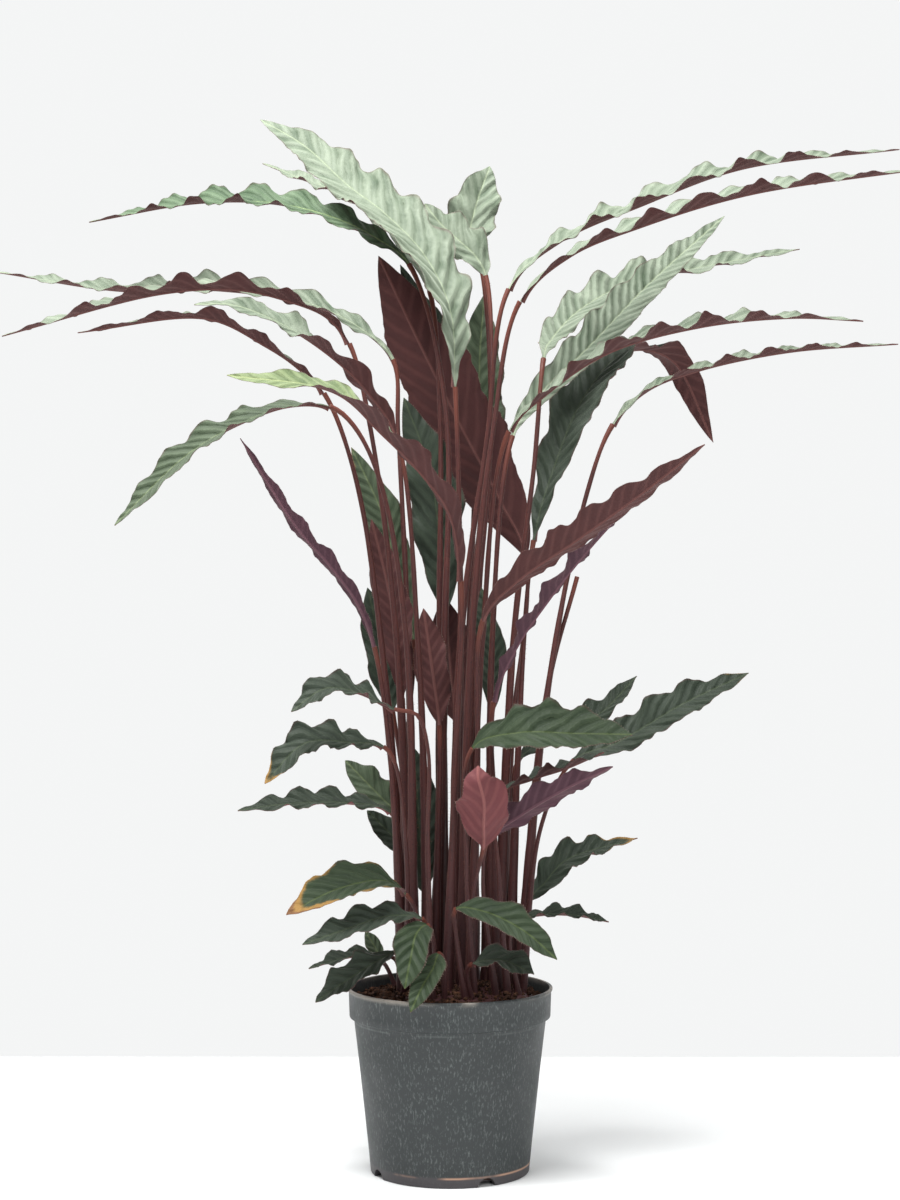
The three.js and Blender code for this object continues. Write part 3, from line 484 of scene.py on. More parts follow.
@dataclass(frozen=True)
class LeafVelvet:
    """Upper side of a living blade: matt velvet of tiny hairs, with feather bands that follow the side veins.

    The bands are painted highlight and shade of the swellings along the side veins; with the pale sheen they
    give the eye the nap of the leaf, and the bump gives its swelling veins.
    """

    name: str
    pale: str
    green: str
    rib: str
    sheen: float = 0.25
    margin: str = "4a3230"
    wither_edge: str = "8c6a34"
    wither_tip: str = "6d4a2b"
    # One band is one vein apart; fine veins lie several to a band
    fine_veins: float = 4.0
    # Nap: hairs about 0.5 mm apart, drawn about 1.5 mm apart so that they show
    nap_spacing: float = 1.5

    def build(self) -> bpy.types.Material:
        """Builds the velvet's nodes.

        Returns:
            The material.
        """
        material = new_material("velvet_upper_" + self.name)
        node = partial(add_node, material.node_tree)
        feather = node("Attribute", {}, "Vector", attribute_name="feather")
        marks = node("Attribute", {}, "Vector", attribute_name="marks")
        vein, across, share = (node("SeparateXYZ", {0: feather}, i) for i in range(3))
        wither, seed, rib = (node("SeparateXYZ", {0: marks}, i) for i in range(3))
        place = node("TexCoord", {}, "Object")
        cloud = node("TexNoise", {"Vector": place, "W": seed, "Scale": 45.0, "Detail": 3.0},
                     noise_dimensions="4D")
        # Painted highlight and shade: bands of pale and green along the side veins stand for the light on
        # their swellings
        warp = node("Math", {0: cloud, 1: 1.1, 2: vein}, operation="MULTIPLY_ADD")
        wave = node("Math", {0: warp, 1: 2 * math.pi}, operation="MULTIPLY")
        wave = node("Math", {0: wave}, operation="COSINE")
        band = node("MapRange", {0: wave, 1: -1.0, 2: 1.0}, interpolation_type="SMOOTHSTEP")
        fine = node("Math", {0: warp, 1: 2 * math.pi * self.fine_veins}, operation="MULTIPLY")
        fine = node("Math", {0: fine}, operation="COSINE")
        lines = node("MapRange", {0: fine, 1: 0.7, 2: 1.0})
        # The painted highlight and shade bands come and go along the leaf
        patch = node("TexNoise", {"Vector": place, "W": seed, "Scale": 26.0, "Detail": 2.0},
                     noise_dimensions="4D")
        patch = node("MapRange", {0: patch, 1: 0.35, 2: 0.65, 3: 0.05, 4: 0.52})
        band = node("Math", {0: band, 1: patch}, operation="MULTIPLY")
        amount = node("Math", {0: cloud, 1: 1.5, 2: -0.5}, operation="MULTIPLY_ADD")
        amount = node("Math", {0: band, 1: amount}, operation="ADD", use_clamp=True)
        colour = node("Mix", {MIX_FACTOR: amount, MIX_A: linear(self.pale),
                              MIX_B: linear(self.green)}, **COLOURS)
        vein_amount = node("Math", {0: lines, 1: 0.1}, operation="MULTIPLY")
        rib_mask = node("MapRange", {0: rib, 1: 0.5, 2: 1.3, 3: 0.6, 4: 0.0},
                        interpolation_type="SMOOTHSTEP")
        # The maroon skin shows through at the very edge, in places
        reach = node("Math", {0: across}, operation="ABSOLUTE")
        margin = node("MapRange", {0: reach, 1: 0.9, 2: 1.0}, interpolation_type="SMOOTHSTEP")
        margin = node("Math", {0: margin, 1: cloud}, operation="MULTIPLY")
        # Old leaves yellow and brown from the tip and the edges inwards
        reach = node("Math", {0: reach, 1: 3.0}, operation="POWER")
        tip = node("Math", {0: share, 1: 5.0}, operation="POWER")
        worn = node("Math", {0: reach, 1: 0.55, 2: tip}, operation="MULTIPLY_ADD")
        worn = node("Math", {0: worn, 1: wither}, operation="MULTIPLY")
        worn = node("Math", {0: cloud, 1: 0.9, 2: worn}, operation="MULTIPLY_ADD")
        edge = node("MapRange", {0: worn, 1: 0.78, 2: 1.0}, interpolation_type="SMOOTHSTEP")
        burnt = node("MapRange", {0: worn, 1: 1.12, 2: 1.3}, interpolation_type="SMOOTHSTEP")
        for amount, shade in ((vein_amount, self.rib), (rib_mask, self.rib), (margin, self.margin),
                              (edge, self.wither_edge), (burnt, self.wither_tip)):
            colour = node("Mix", {MIX_FACTOR: amount, MIX_A: colour, MIX_B: linear(shade)}, **COLOURS)
        nap = node("TexNoise", {"Vector": place, "Scale": 1000.0 / self.nap_spacing, "Detail": 2.0})
        rough = node("MapRange", {0: nap, 3: 0.5, 4: 0.78})
        swell = node("Bump", {"Height": wave, "Strength": 0.5, "Distance": 0.0012})
        height = node("Math", {0: lines, 1: -0.5, 2: nap}, operation="MULTIPLY_ADD")
        bump = node("Bump", {"Height": height, "Strength": 0.35, "Distance": 0.0006, "Normal": swell})
        shader = node("BsdfPrincipled", {
            "Base Color": colour, "Roughness": rough, "Normal": bump, "IOR": 1.45, "Sheen Weight": self.sheen,
            "Sheen Roughness": 0.45, "Sheen Tint": linear("dfe8d6"), "Specular IOR Level": 0.35})
        node("OutputMaterial", {"Surface": shader}, None)
        return material


@dataclass(frozen=True)
class LeafFelt:
    """Underside of a blade: felt of short hairs over maroon skin, with a raised rib and fine side veins.

    The sheen gives the eye the soft bloom of the felt where it turns away from the light.
    """

    name: str
    skin: str
    vein: str
    dark: str
    sheen: float = 0.2
    fine_veins: float = 1.0
    nap_spacing: float = 1.8

    def build(self) -> bpy.types.Material:
        """Builds the felt's nodes.

        Returns:
            The material.
        """
        material = new_material("felt_under_" + self.name)
        node = partial(add_node, material.node_tree)
        feather = node("Attribute", {}, "Vector", attribute_name="feather")
        marks = node("Attribute", {}, "Vector", attribute_name="marks")
        vein = node("SeparateXYZ", {0: feather}, 0)
        seed, rib = (node("SeparateXYZ", {0: marks}, i) for i in (1, 2))
        place = node("TexCoord", {}, "Object")
        cloud = node("TexNoise", {"Vector": place, "W": seed, "Scale": 38.0, "Detail": 4.0},
                     noise_dimensions="4D")
        colour = node("Mix", {MIX_FACTOR: cloud, MIX_A: linear(self.dark),
                              MIX_B: linear(self.skin)}, **COLOURS)
        fine = node("Math", {0: cloud, 1: 0.35, 2: vein}, operation="MULTIPLY_ADD")
        fine = node("Math", {0: fine, 1: 2 * math.pi * self.fine_veins}, operation="MULTIPLY")
        fine = node("Math", {0: fine}, operation="COSINE")
        lines = node("MapRange", {0: fine, 1: 0.0, 2: 1.0, 3: 0.0, 4: 0.22})
        rib_mask = node("MapRange", {0: rib, 1: 0.8, 2: 1.9, 3: 0.75, 4: 0.0},
                        interpolation_type="SMOOTHSTEP")
        veins = node("Math", {0: lines, 1: rib_mask}, operation="MAXIMUM")
        colour = node("Mix", {MIX_FACTOR: veins, MIX_A: colour, MIX_B: linear(self.vein)}, **COLOURS)
        nap = node("TexNoise", {"Vector": place, "Scale": 1000.0 / self.nap_spacing, "Detail": 2.0})
        rough = node("MapRange", {0: nap, 3: 0.6, 4: 0.85})
        height = node("Math", {0: lines, 1: 1.0, 2: nap}, operation="MULTIPLY_ADD")
        bump = node("Bump", {"Height": height, "Strength": 0.4, "Distance": 0.0006})
        shader = node("BsdfPrincipled", {
            "Base Color": colour, "Roughness": rough, "Normal": bump, "IOR": 1.45, "Sheen Weight": self.sheen,
            "Sheen Roughness": 0.5, "Sheen Tint": linear("e0b8b4"), "Specular IOR Level": 0.25})
        node("OutputMaterial", {"Surface": shader}, None)
        return material


@dataclass(frozen=True)
class StalkSkin:
    """Skin of a fleshy leaf stalk: red-brown, streaked lengthwise, with dark spots and a paler joint on top.

    The streaks give the eye the fibres of the sheath, and the low gloss its firm skin under the hairs.
    """

    body: str = "361819"
    lit: str = "4e251f"
    dark: str = "1e0f10"
    joint: str = "5e2f24"
    sheath: str = "392022"
    streak_spacing: float = 1.6
    spot_spacing: float = 3.0

    def build(self) -> bpy.types.Material:
        """Builds the skin's nodes.

        Returns:
            The material.
        """
        material = new_material("fleshy_stalk_skin")
        node = partial(add_node, material.node_tree)
        growth = node("Attribute", {}, "Vector", attribute_name="growth")
        share, seed, height = (node("SeparateXYZ", {0: growth}, i) for i in range(3))
        place = node("TexCoord", {}, "Object")
        scale = 1000.0 / self.streak_spacing
        drawn = node("Mapping", {"Vector": place, "Scale": (scale, scale, scale / 40)})
        streaks = node("TexNoise", {"Vector": drawn, "W": seed, "Scale": 1.0, "Detail": 3.0},
                       noise_dimensions="4D")
        mix = node("MapRange", {0: streaks, 1: 0.38, 2: 0.66})
        tone = node("TexNoise", {"Vector": place, "W": seed, "Scale": 9.0}, noise_dimensions="4D")
        mix = node("Math", {0: tone, 1: 0.7, 2: mix}, operation="MULTIPLY_ADD")
        mix = node("Math", {0: mix, 1: 0.6}, operation="MULTIPLY", use_clamp=True)
        colour = node("Mix", {MIX_FACTOR: mix, MIX_A: linear(self.body), MIX_B: linear(self.lit)}, **COLOURS)
        low = node("MapRange", {0: height, 1: 0.02, 2: 0.22, 3: 0.75, 4: 0.0})
        spots = node("TexVoronoi", {"Vector": place, "Scale": 1000.0 / self.spot_spacing})
        spots = node("MapRange", {0: spots, 1: 0.12, 2: 0.3, 3: 0.7, 4: 0.0})
        top = node("MapRange", {0: share, 1: 0.9, 2: 0.97, 3: 0.0, 4: 0.85})
        for amount, shade in ((low, self.sheath), (spots, self.dark), (top, self.joint)):
            colour = node("Mix", {MIX_FACTOR: amount, MIX_A: colour, MIX_B: linear(shade)}, **COLOURS)
        rough = node("MapRange", {0: streaks, 3: 0.42, 4: 0.68})
        bump = node("Bump", {"Height": streaks, "Strength": 0.45, "Distance": 0.0007})
        shader = node("BsdfPrincipled", {
            "Base Color": colour, "Roughness": rough, "Normal": bump, "IOR": 1.45, "Sheen Weight": 0.08,
            "Sheen Roughness": 0.5, "Sheen Tint": linear("d8a596"), "Specular IOR Level": 0.35})
        node("OutputMaterial", {"Surface": shader}, None)
        return material


@dataclass(frozen=True)
class PlantHair:
    """Fine dry hairs of the plant, mixed at random between a darker and a paler colour; the paler one is
    painted light coming through them.
    """

    name: str
    root: str
    tip: str

    def build(self) -> bpy.types.Material:
        """Builds the hair's nodes.

        Returns:
            The material.
        """
        material = new_material("plant_hair_" + self.name)
        node = partial(add_node, material.node_tree)
        place = node("TexCoord", {}, "Object")
        cloud = node("TexNoise", {"Vector": place, "Scale": 320.0})
        mix = node("MapRange", {0: cloud, 1: 0.35, 2: 0.65})
        colour = node("Mix", {MIX_FACTOR: mix, MIX_A: linear(self.root), MIX_B: linear(self.tip)}, **COLOURS)
        rough = node("MapRange", {0: cloud, 3: 0.5, 4: 0.75})
        shader = node("BsdfPrincipled", {"Base Color": colour, "Roughness": rough, "IOR": 1.5})
        node("OutputMaterial", {"Surface": shader}, None)
        return material


@dataclass(frozen=True)
class Peat:
    """Damp peat potting soil: dark red-brown crumbs with a few paler fibres, quite matt."""

    dark: str = "1d1310"
    body: str = "3a261e"
    fibre: str = "6b4a37"
    crumb: float = 4.0

    def build(self) -> bpy.types.Material:
        """Builds the peat's nodes.

        Returns:
            The material.
        """
        material = new_material("peat_potting_soil")
        node = partial(add_node, material.node_tree)
        place = node("TexCoord", {}, "Object")
        crumbs = node("TexVoronoi", {"Vector": place, "Scale": 1000.0 / self.crumb})
        grains = node("TexNoise", {"Vector": place, "Scale": 1000.0 / self.crumb, "Detail": 5.0})
        colour = node("ValToRGB", {0: grains}, ramp=[
            (0.32, self.dark), (0.75, self.fibre), (0.52, self.body)])
        # Painted shade: darker in the gaps between the crumbs, where the bump sinks
        shade = node("MapRange", {0: crumbs, 1: 0.1, 2: 0.7, 3: 0.0, 4: 0.6})
        colour = node("Mix", {MIX_FACTOR: shade, MIX_A: colour, MIX_B: linear(self.dark)}, **COLOURS)
        height = node("Math", {0: crumbs, 1: -0.6, 2: grains}, operation="MULTIPLY_ADD")
        bump = node("Bump", {"Height": height, "Strength": 0.8, "Distance": 0.002})
        rough = node("MapRange", {0: grains, 3: 0.85, 4: 1.0})
        shader = node("BsdfPrincipled", {
            "Base Color": colour, "Roughness": rough, "Normal": bump, "IOR": 1.4, "Specular IOR Level": 0.2})
        node("OutputMaterial", {"Surface": shader}, None)
        return material


@dataclass(frozen=True)
class MouldedPolypropylene:
    """Injection-moulded charcoal polypropylene of recycled stock: satin, with paler flecks drawn upwards.

    Handling gives it dull dusty patches and a dried splash line just above the ground, and it is paler round
    the top of the lip.
    """

    charcoal: str = "1f2425"
    fleck: str = "6c7371"
    lip_pale: str = "9c948a"
    splash: str = "b08a72"
    low: str = "3d383b"
    fleck_spacing: float = 1.6
    splash_height: float = 9.0
    rim_height: float = 170.0
    band_height: float = 143.0

    def build(self) -> bpy.types.Material:
        """Builds the plastic's nodes.

        Returns:
            The material.
        """
        material = new_material("moulded_charcoal_polypropylene")
        node = partial(add_node, material.node_tree)
        place = node("TexCoord", {}, "Object")
        height = node("SeparateXYZ", {0: place}, 2)
        scale = 1000.0 / self.fleck_spacing
        drawn = node("Mapping", {"Vector": place, "Scale": (scale, scale, scale / 2.8)})
        flecks = node("TexNoise", {"Vector": drawn, "Scale": 1.0, "Detail": 3.0, "Roughness": 0.6})
        patches = node("TexNoise", {"Vector": place, "Scale": 22.0, "Detail": 4.0})
        fleck_mask = node("MapRange", {0: flecks, 1: 0.54, 2: 0.74, 3: 0.0, 4: 0.55})
        dust_mask = node("MapRange", {0: patches, 1: 0.45, 2: 0.75, 3: 0.0, 4: 0.28})
        colour = node("Mix", {MIX_FACTOR: dust_mask, MIX_A: linear(self.charcoal),
                              MIX_B: linear("343a3a")}, **COLOURS)
        low = node("MapRange", {0: height, 1: self.splash_height * MM,
                                2: (self.splash_height + 2) * MM, 3: 0.8, 4: 0.0})
        for amount, shade in ((fleck_mask, self.fleck), (low, self.low)):
            colour = node("Mix", {MIX_FACTOR: amount, MIX_A: colour, MIX_B: linear(shade)}, **COLOURS)
        # Bands round the pot: the dried splash line, a paler band round the top of the lip, and a faint line
        # under the rim band
        for level, spread, shade, amount in ((self.splash_height, 1.4, self.splash, 1.0),
                                             (self.rim_height, 5.0, self.lip_pale, 0.75),
                                             (self.band_height - 4, 1.2, self.fleck, 0.35)):
            away = node("Math", {0: height, 1: -level * MM}, operation="ADD")
            away = node("Math", {0: away}, operation="ABSOLUTE")
            near = node("MapRange", {0: away, 1: 0.0, 2: spread * MM, 3: amount, 4: 0.0})
            broken = node("MapRange", {0: patches, 1: 0.42, 2: 0.56})
            mask = node("Math", {0: near, 1: broken}, operation="MULTIPLY")
            colour = node("Mix", {MIX_FACTOR: mask, MIX_A: colour, MIX_B: linear(shade)}, **COLOURS)
        rough = node("MapRange", {0: patches, 1: 0.3, 2: 0.7, 3: 0.4, 4: 0.62})
        bump = node("Bump", {"Height": flecks, "Strength": 0.15, "Distance": 0.0004})
        shader = node("BsdfPrincipled", {
            "Base Color": colour, "Roughness": rough, "Normal": bump, "IOR": 1.49})
        node("OutputMaterial", {"Surface": shader}, None)
        return material


@dataclass(frozen=True)
class PaintedFloor:
    """Pale matt floor paint, nearly even, for the stage alone."""

    light: str = "f6f7f7"
    dim: str = "eceeee"

    def build(self) -> bpy.types.Material:
        """Builds the paint's nodes.

        Returns:
            The material.
        """
        material = new_material("pale_floor_paint")
        node = partial(add_node, material.node_tree)
        place = node("TexCoord", {}, "Object")
        cloud = node("TexNoise", {"Vector": place, "Scale": 3.0})
        colour = node("Mix", {MIX_FACTOR: cloud, MIX_A: linear(self.dim),
                              MIX_B: linear(self.light)}, **COLOURS)
        shader = node("BsdfPrincipled", {"Base Color": colour, "Roughness": 0.7})
        node("OutputMaterial", {"Surface": shader}, None)
        return material


@dataclass(frozen=True)
class Blades:
    """All the leaf blades, each with velvet above, felt below and a fringe of hairs."""

    thickness: float = 0.6
    rib_height: float = 1.1
    collar_half_width: float = 2.2
    tip_half_width: float = 0.3
    fold: float = math.radians(20)
    rise: float = 0.85
    fall: float = 0.9
    wave_height: float = 0.25
    wave_reach: float = 0.1
    wave_limit: float = 7.0
    row_step: float = 2.2
    gap: float = 0.15
    # Side veins leave the rib at about 40 degrees and bend forward
    vein_lean: float = 1.15
    vein_bend: float = 0.012
    vein_spacing_share: float = 0.26
    # Crimps of the edge: height as a share of the wave's, and how many go to a wave
    crimps: tuple = ((0.2, 2.0, 1.3), (0.16, 3.4, 2.9))
    raggedness: float = 0.05
    ragged_spread: tuple = (0.2, 0.3, 0.3, 0.2, 0.0)
    relief_share: float = 0.045
    groove_depth: float = 0.4
    groove_width: float = 1.3
    fringe_radius: float = 0.13
    columns: tuple = (0, 0.035, 0.085, 0.16, 0.27, 0.39, 0.51, 0.63, 0.75, 0.87, 1.0)

    @staticmethod
    def path(leaf: Leaf) -> Path:
        """Gives the curve of a whole leaf, stalk and blade."""
        return Path([(*leaf.foot, FOOT_LEVEL), *leaf.stalk, *leaf.blade])

    @staticmethod
    def collar(leaf: Leaf, path: Path) -> float:
        """Gives the collar's distance along the leaf's path."""
        return path.distance_at((1 + len(leaf.stalk)) / (len(leaf.stalk) + len(leaf.blade)))

    @staticmethod
    def facing(leaf: Leaf, share: np.ndarray, along: np.ndarray) -> np.ndarray:
        """Finds where the upper side looks.

        Args:
            leaf: the leaf.
            share: places along the blade, 0 to 1.
            along: directions of the midrib there.

        Returns:
            Rows of directions, square to the midrib.
        """
        ways = []
        for look in leaf.facing:
            if isinstance(look, tuple):
                ways.append(unit(np.array(look, dtype=float)))
            else:
                ways.append(np.array([0.0, -math.sin(math.radians(look)), math.cos(math.radians(look))]))
        ways = np.array(ways if len(ways) > 1 else ways * 2)
        place = share * (len(ways) - 1)
        low = np.minimum(place.astype(int), len(ways) - 2)
        part = (place - low)[:, None]
        up = ways[low] * (1 - part) + ways[low + 1] * part
        return unit(up - along * np.sum(up * along, axis=1, keepdims=True))

    def build(self, leaf: Leaf, number: int, top: bpy.types.Material, under: bpy.types.Material,
              hair: bpy.types.Material) -> bpy.types.Object:
        """Builds one blade.

        Args:
            leaf: the leaf's row.
            number: its number, which seeds its small differences.
            top: velvet of the upper side.
            under: felt of the underside.
            hair: hairs of the fringe.

        Returns:
            The blade's object.
        """
        chance = np.random.default_rng(100 + number)
        path = self.path(leaf)
        start = self.collar(leaf, path) + self.gap
        length = path.length - start
        rows = max(24, int(length / self.row_step))
        s = np.linspace(0.0, 1.0, rows + 1)
        x = np.concatenate([[-c for c in reversed(self.columns[1:])], self.columns])
        point, along = path.at(start + s * length)
        up = self.facing(leaf, s, along)
        right = np.cross(along, up)
        widest = self.rise / (self.rise + self.fall)
        peak = widest ** self.rise * (1 - widest) ** self.fall
        shape = s ** self.rise * (1 - s) ** self.fall / peak
        end = self.collar_half_width * (1 - s) + self.tip_half_width * s
        half = np.maximum(end, leaf.width / 2 * shape)
        slow = 1 + 0.22 * np.sin(2 * math.pi * (s * chance.uniform(1.5, 2.6) + chance.uniform()))
        height = min(self.wave_limit, self.wave_height * leaf.width / 2) * leaf.swing * shape * slow
        ax = np.abs(x)[None, :]
        sx = np.sign(x)[None, :]
        s2, half2, shape2 = s[:, None], half[:, None], shape[:, None]
        # The waves lean forward with the side veins
        lag = 0.55 * half2 / length * (1 - ax)
        turn = 2 * math.pi * leaf.waves * (s2 + lag)
        wave = sx * np.cos(turn)
        crimp = sum(share * np.sin(rate * turn + chance.uniform(0, 6.3) + offset * sx)
                    for share, rate, offset in self.crimps)
        jitter = chance.normal(0, self.raggedness, rows + len(self.ragged_spread))
        ragged = np.convolve(jitter, self.ragged_spread, mode="valid")[:, None]
        reach = half2 * math.cos(self.fold) * ax * (1 + (self.wave_reach * wave + ragged) * shape2 * ax)
        lift = half2 * math.sin(self.fold) * shape2 * ax
        lift = lift + height[:, None] * (wave * ax ** 1.7 + crimp * ax ** 4)
        z = half2 * ax
        spacing = max(8.0, self.vein_spacing_share * leaf.width + 3.0)
        vein = (s2 * length - self.vein_lean * z - self.vein_bend * z * z) / spacing
        relief = self.relief_share * spacing * np.cos(2 * math.pi * vein) * np.clip(z / 5.0, 0, 1) * shape2
        groove = self.groove_depth * np.exp(-(z / self.groove_width) ** 2)
        lift = lift + relief - groove
        upper = (point[:, None, :] + right[:, None, :] * (sx * reach)[..., None]
                 + up[:, None, :] * lift[..., None])
        rib = (self.rib_height + 2.8 * np.exp(-s2 / 0.05) * (1 - s2)) * (1 - 0.6 * s2)
        rib_width = 1.5 - 0.7 * s2
        depth = self.thickness * (1 - 0.5 * ax ** 2) + rib * np.exp(-(z / rib_width) ** 2)
        lower = upper - up[:, None, :] * depth[..., None]
        columns = len(x)
        size = (rows + 1) * columns
        vertices = np.concatenate([upper.reshape(-1, 3), lower.reshape(-1, 3)])
        a = (np.arange(rows)[:, None] * columns + np.arange(columns - 1)[None, :]).ravel()
        top_faces = np.stack([a, a + columns, a + columns + 1, a + 1], axis=1)
        under_faces = np.stack([a, a + 1, a + columns + 1, a + columns], axis=1) + size
        r = np.arange(rows) * columns
        left = np.stack([r, r + size, r + columns + size, r + columns], axis=1)
        e = r + columns - 1
        right_rim = np.stack([e, e + columns, e + columns + size, e + size], axis=1)
        c = np.arange(columns - 1)
        foot_cap = np.stack([c, c + 1, c + 1 + size, c + size], axis=1)
        t = c + rows * columns
        tip_cap = np.stack([t, t + size, t + 1 + size, t + 1], axis=1)
        faces = np.concatenate([top_faces, under_faces, left, right_rim, foot_cap, tip_cap])
        slots = [0] * len(top_faces) + [1] * (len(faces) - len(top_faces))
        feather = np.stack(np.broadcast_arrays(vein, x[None, :], s2), axis=-1).reshape(-1, 3)
        marks = np.stack(np.broadcast_arrays(leaf.wither, 3.0 * number, z), axis=-1).reshape(-1, 3)
        faces = faces.tolist()
        feather, marks = np.tile(feather, (2, 1)), np.tile(marks, (2, 1))
        # Fringe of hairs on both edges
        roots, ways, own = [], [], []
        for side, column in ((-1.0, 0), (1.0, columns - 1)):
            picks = np.arange(2, rows - 1)
            roots.append((upper[picks, column] + lower[picks, column]) / 2)
            ways.append(right[picks] * side + 0.5 * along[picks] + chance.normal(0, 0.35, (len(picks), 3)))
            own.append(picks * columns + column)
        roots, ways, own = np.concatenate(roots), unit(np.concatenate(ways)), np.concatenate(own)
        lengths = chance.uniform(0.8, 1.7, len(roots))
        points, hair_faces = needles(roots, ways, lengths, self.fringe_radius, len(vertices))
        vertices = np.concatenate([vertices, points])
        feather = np.concatenate([feather, np.repeat(feather[own], 4, axis=0)])
        marks = np.concatenate([marks, np.repeat(marks[own], 4, axis=0)])
        slots += [2] * len(hair_faces)
        return build_mesh("blade_" + leaf.name, vertices, faces + hair_faces, [top, under, hair], slots,
                          {"feather": feather, "marks": marks})


@dataclass(frozen=True)
class Clump:
    """The crown and the stalks that grow out of it, with their hairs."""

    sides: int = 12
    row_step: float = 7.0
    gap: float = 0.15
    upper: tuple = (7.0, 2.1)
    lower: tuple = (4.2, 1.7)
    joint_length: float = 22.0
    joint_swell: float = 0.22
    hair_spacing: float = 1.6
    hair_radius: float = 0.12
    wobble: float = 0.05
    channel_depth: float = 0.2
    crown_levels: tuple = (138.0, 164.0, 172.0)

    def stalk(self, path: Path, end: float, radii: tuple, number: int, joint: bool) -> tuple:
        """Builds one stalk's skin.

        Args:
            path: the leaf's curve.
            end: where the stalk stops along it.
            radii: radius at the foot and at the collar.
            number: seeds its small differences.
            joint: whether a swollen joint ends it.

        Returns:
            Vertices, faces and the growth marks, then the hair roots and their directions.
        """
        chance = np.random.default_rng(500 + number)
        rows = max(12, int(end / self.row_step))
        t = np.linspace(0.0, 1.0, rows + 1)
        point, along = path.at(t * end)
        side = unit(np.cross(np.array([0.0, 1.0, 0.0]), along))
        front = np.cross(along, side)
        radius = radii[1] + (radii[0] - radii[1]) * (1 - t) ** 2
        radius = radius * (1 + self.wobble * np.sin(t * end / chance.uniform(9, 17) + chance.uniform(0, 6)))
        if joint:
            radius = radius * (1 + self.joint_swell * np.clip(1 - (1 - t) * end / self.joint_length, 0, 1))
        angle = 2 * math.pi * np.arange(self.sides) / self.sides
        # A shallow channel runs up the sheath
        channel = chance.uniform(0, 2 * math.pi)
        away = np.angle(np.exp(1j * (angle - channel)))
        dent = 1 - self.channel_depth * np.exp(-(away / 0.5) ** 2)[None, :] * (1 - t[:, None]) ** 0.5
        out = (side[:, None, :] * np.cos(angle)[None, :, None]
               + front[:, None, :] * np.sin(angle)[None, :, None])
        skin = point[:, None, :] + out * (radius[:, None] * dent)[..., None]
        n = self.sides
        vertices = np.concatenate([skin.reshape(-1, 3), point[:1], point[-1:]])
        faces = turned_faces(rows + 1, n, len(vertices) - 2, len(vertices) - 1)
        share = np.concatenate([np.repeat(t, n), [0.0, 1.0]])
        over_peat = (vertices[:, 2] - PEAT_LEVEL) * MM
        growth = np.stack([share, np.full(len(vertices), 3.0 * number), over_peat], axis=1)
        count = int(end / self.hair_spacing)
        place = chance.uniform(0.06, 1.0, count)
        spin = chance.uniform(0, 2 * math.pi, count)
        at = np.minimum((place * rows).astype(int), rows - 1)
        part = (place * rows - at)[:, None]
        core = point[at] * (1 - part) + point[at + 1] * part
        way = side[at] * np.cos(spin)[:, None] + front[at] * np.sin(spin)[:, None]
        roots = core + way * (np.interp(place, t, radius)[:, None] - 0.1)
        return vertices, faces, growth, roots, unit(way + chance.normal(0, 0.3, (count, 3)))

    def build(self, skin: bpy.types.Material, hair: bpy.types.Material) -> list[bpy.types.Object]:
        """Builds all the stalks, their hairs and the crown.

        Args:
            skin: the stalks' material.
            hair: the hairs' material.

        Returns:
            The pieces, which stand for the stems together.
        """
        blades = Blades()
        rows = []
        for leaves, radii in ((UPPER_LEAVES, self.upper), (LOWER_LEAVES, self.lower)):
            for leaf in leaves:
                path = blades.path(leaf)
                rows.append((path, blades.collar(leaf, path) - self.gap, radii, True))
        foot, stalk, top = BARE_STALK
        path = Path([(*foot, FOOT_LEVEL), *stalk, top])
        rows.append((path, path.length, self.upper, False))
        vertices, faces, growth, roots, ways, first = [], [], [], [], [], 0
        for number, (path, end, radii, joint) in enumerate(rows):
            points, own, marks, hair_roots, hair_ways = self.stalk(path, end, radii, number, joint)
            vertices.append(points)
            faces += [[v + first for v in face] for face in own]
            growth.append(marks)
            roots.append(hair_roots)
            ways.append(hair_ways)
            first += len(points)
        stalks = build_mesh("stalk_clump", np.concatenate(vertices), faces, [skin],
                            marks={"growth": np.concatenate(growth)})
        roots, ways = np.concatenate(roots), np.concatenate(ways)
        lengths = np.random.default_rng(7).uniform(0.9, 1.9, len(roots))
        points, hair_faces = needles(roots, ways, lengths, self.hair_radius, 0)
        hairs = build_mesh("stalk_hairs", points, hair_faces, [hair])
        return [stalks, hairs, self.crown(skin)]

    def crown(self, skin: bpy.types.Material) -> bpy.types.Object:
        """Builds the crown, ribbed by the scars of old sheaths.

        Args:
            skin: the stalks' material.

        Returns:
            The crown's object.
        """
        low, shoulder, high = self.crown_levels
        profile = np.array([[0, low], [0.9, low], [1, low + 5], [1, shoulder - 4], [0.96, shoulder - 1.5],
                            [0.88, shoulder + 0.8], [0.75, high - 5], [0.6, high - 2.4], [0.4, high - 1],
                            [0.2, high - 0.3], [0, high]])
        turns = 96
        angle = 2 * math.pi * np.arange(turns) / turns
        ring = profile[1:-1]
        r, z = np.repeat(ring[:, 0], turns), np.repeat(ring[:, 1], turns)
        a = np.tile(angle, len(ring))
        scar = np.where(z > shoulder - 3, 1.1 * np.sin(19 * a + 3 * r) * np.cos(11 * a - 9 * r), 0.0)
        points = np.stack([CROWN_CENTRE[0] + r * CROWN_RADII[0] * np.cos(a),
                           CROWN_CENTRE[1] + r * CROWN_RADII[1] * np.sin(a), z + scar], axis=1)
        ends = [[*CROWN_CENTRE, low], [*CROWN_CENTRE, high]]
        vertices = np.concatenate([points, ends])
        faces = turned_faces(len(ring), turns, len(points), len(points) + 1)
        growth = np.tile([[0.02, 1.0, 0.0]], (len(vertices), 1))
        return build_mesh("crown_mound", vertices, faces, [skin], marks={"growth": growth})


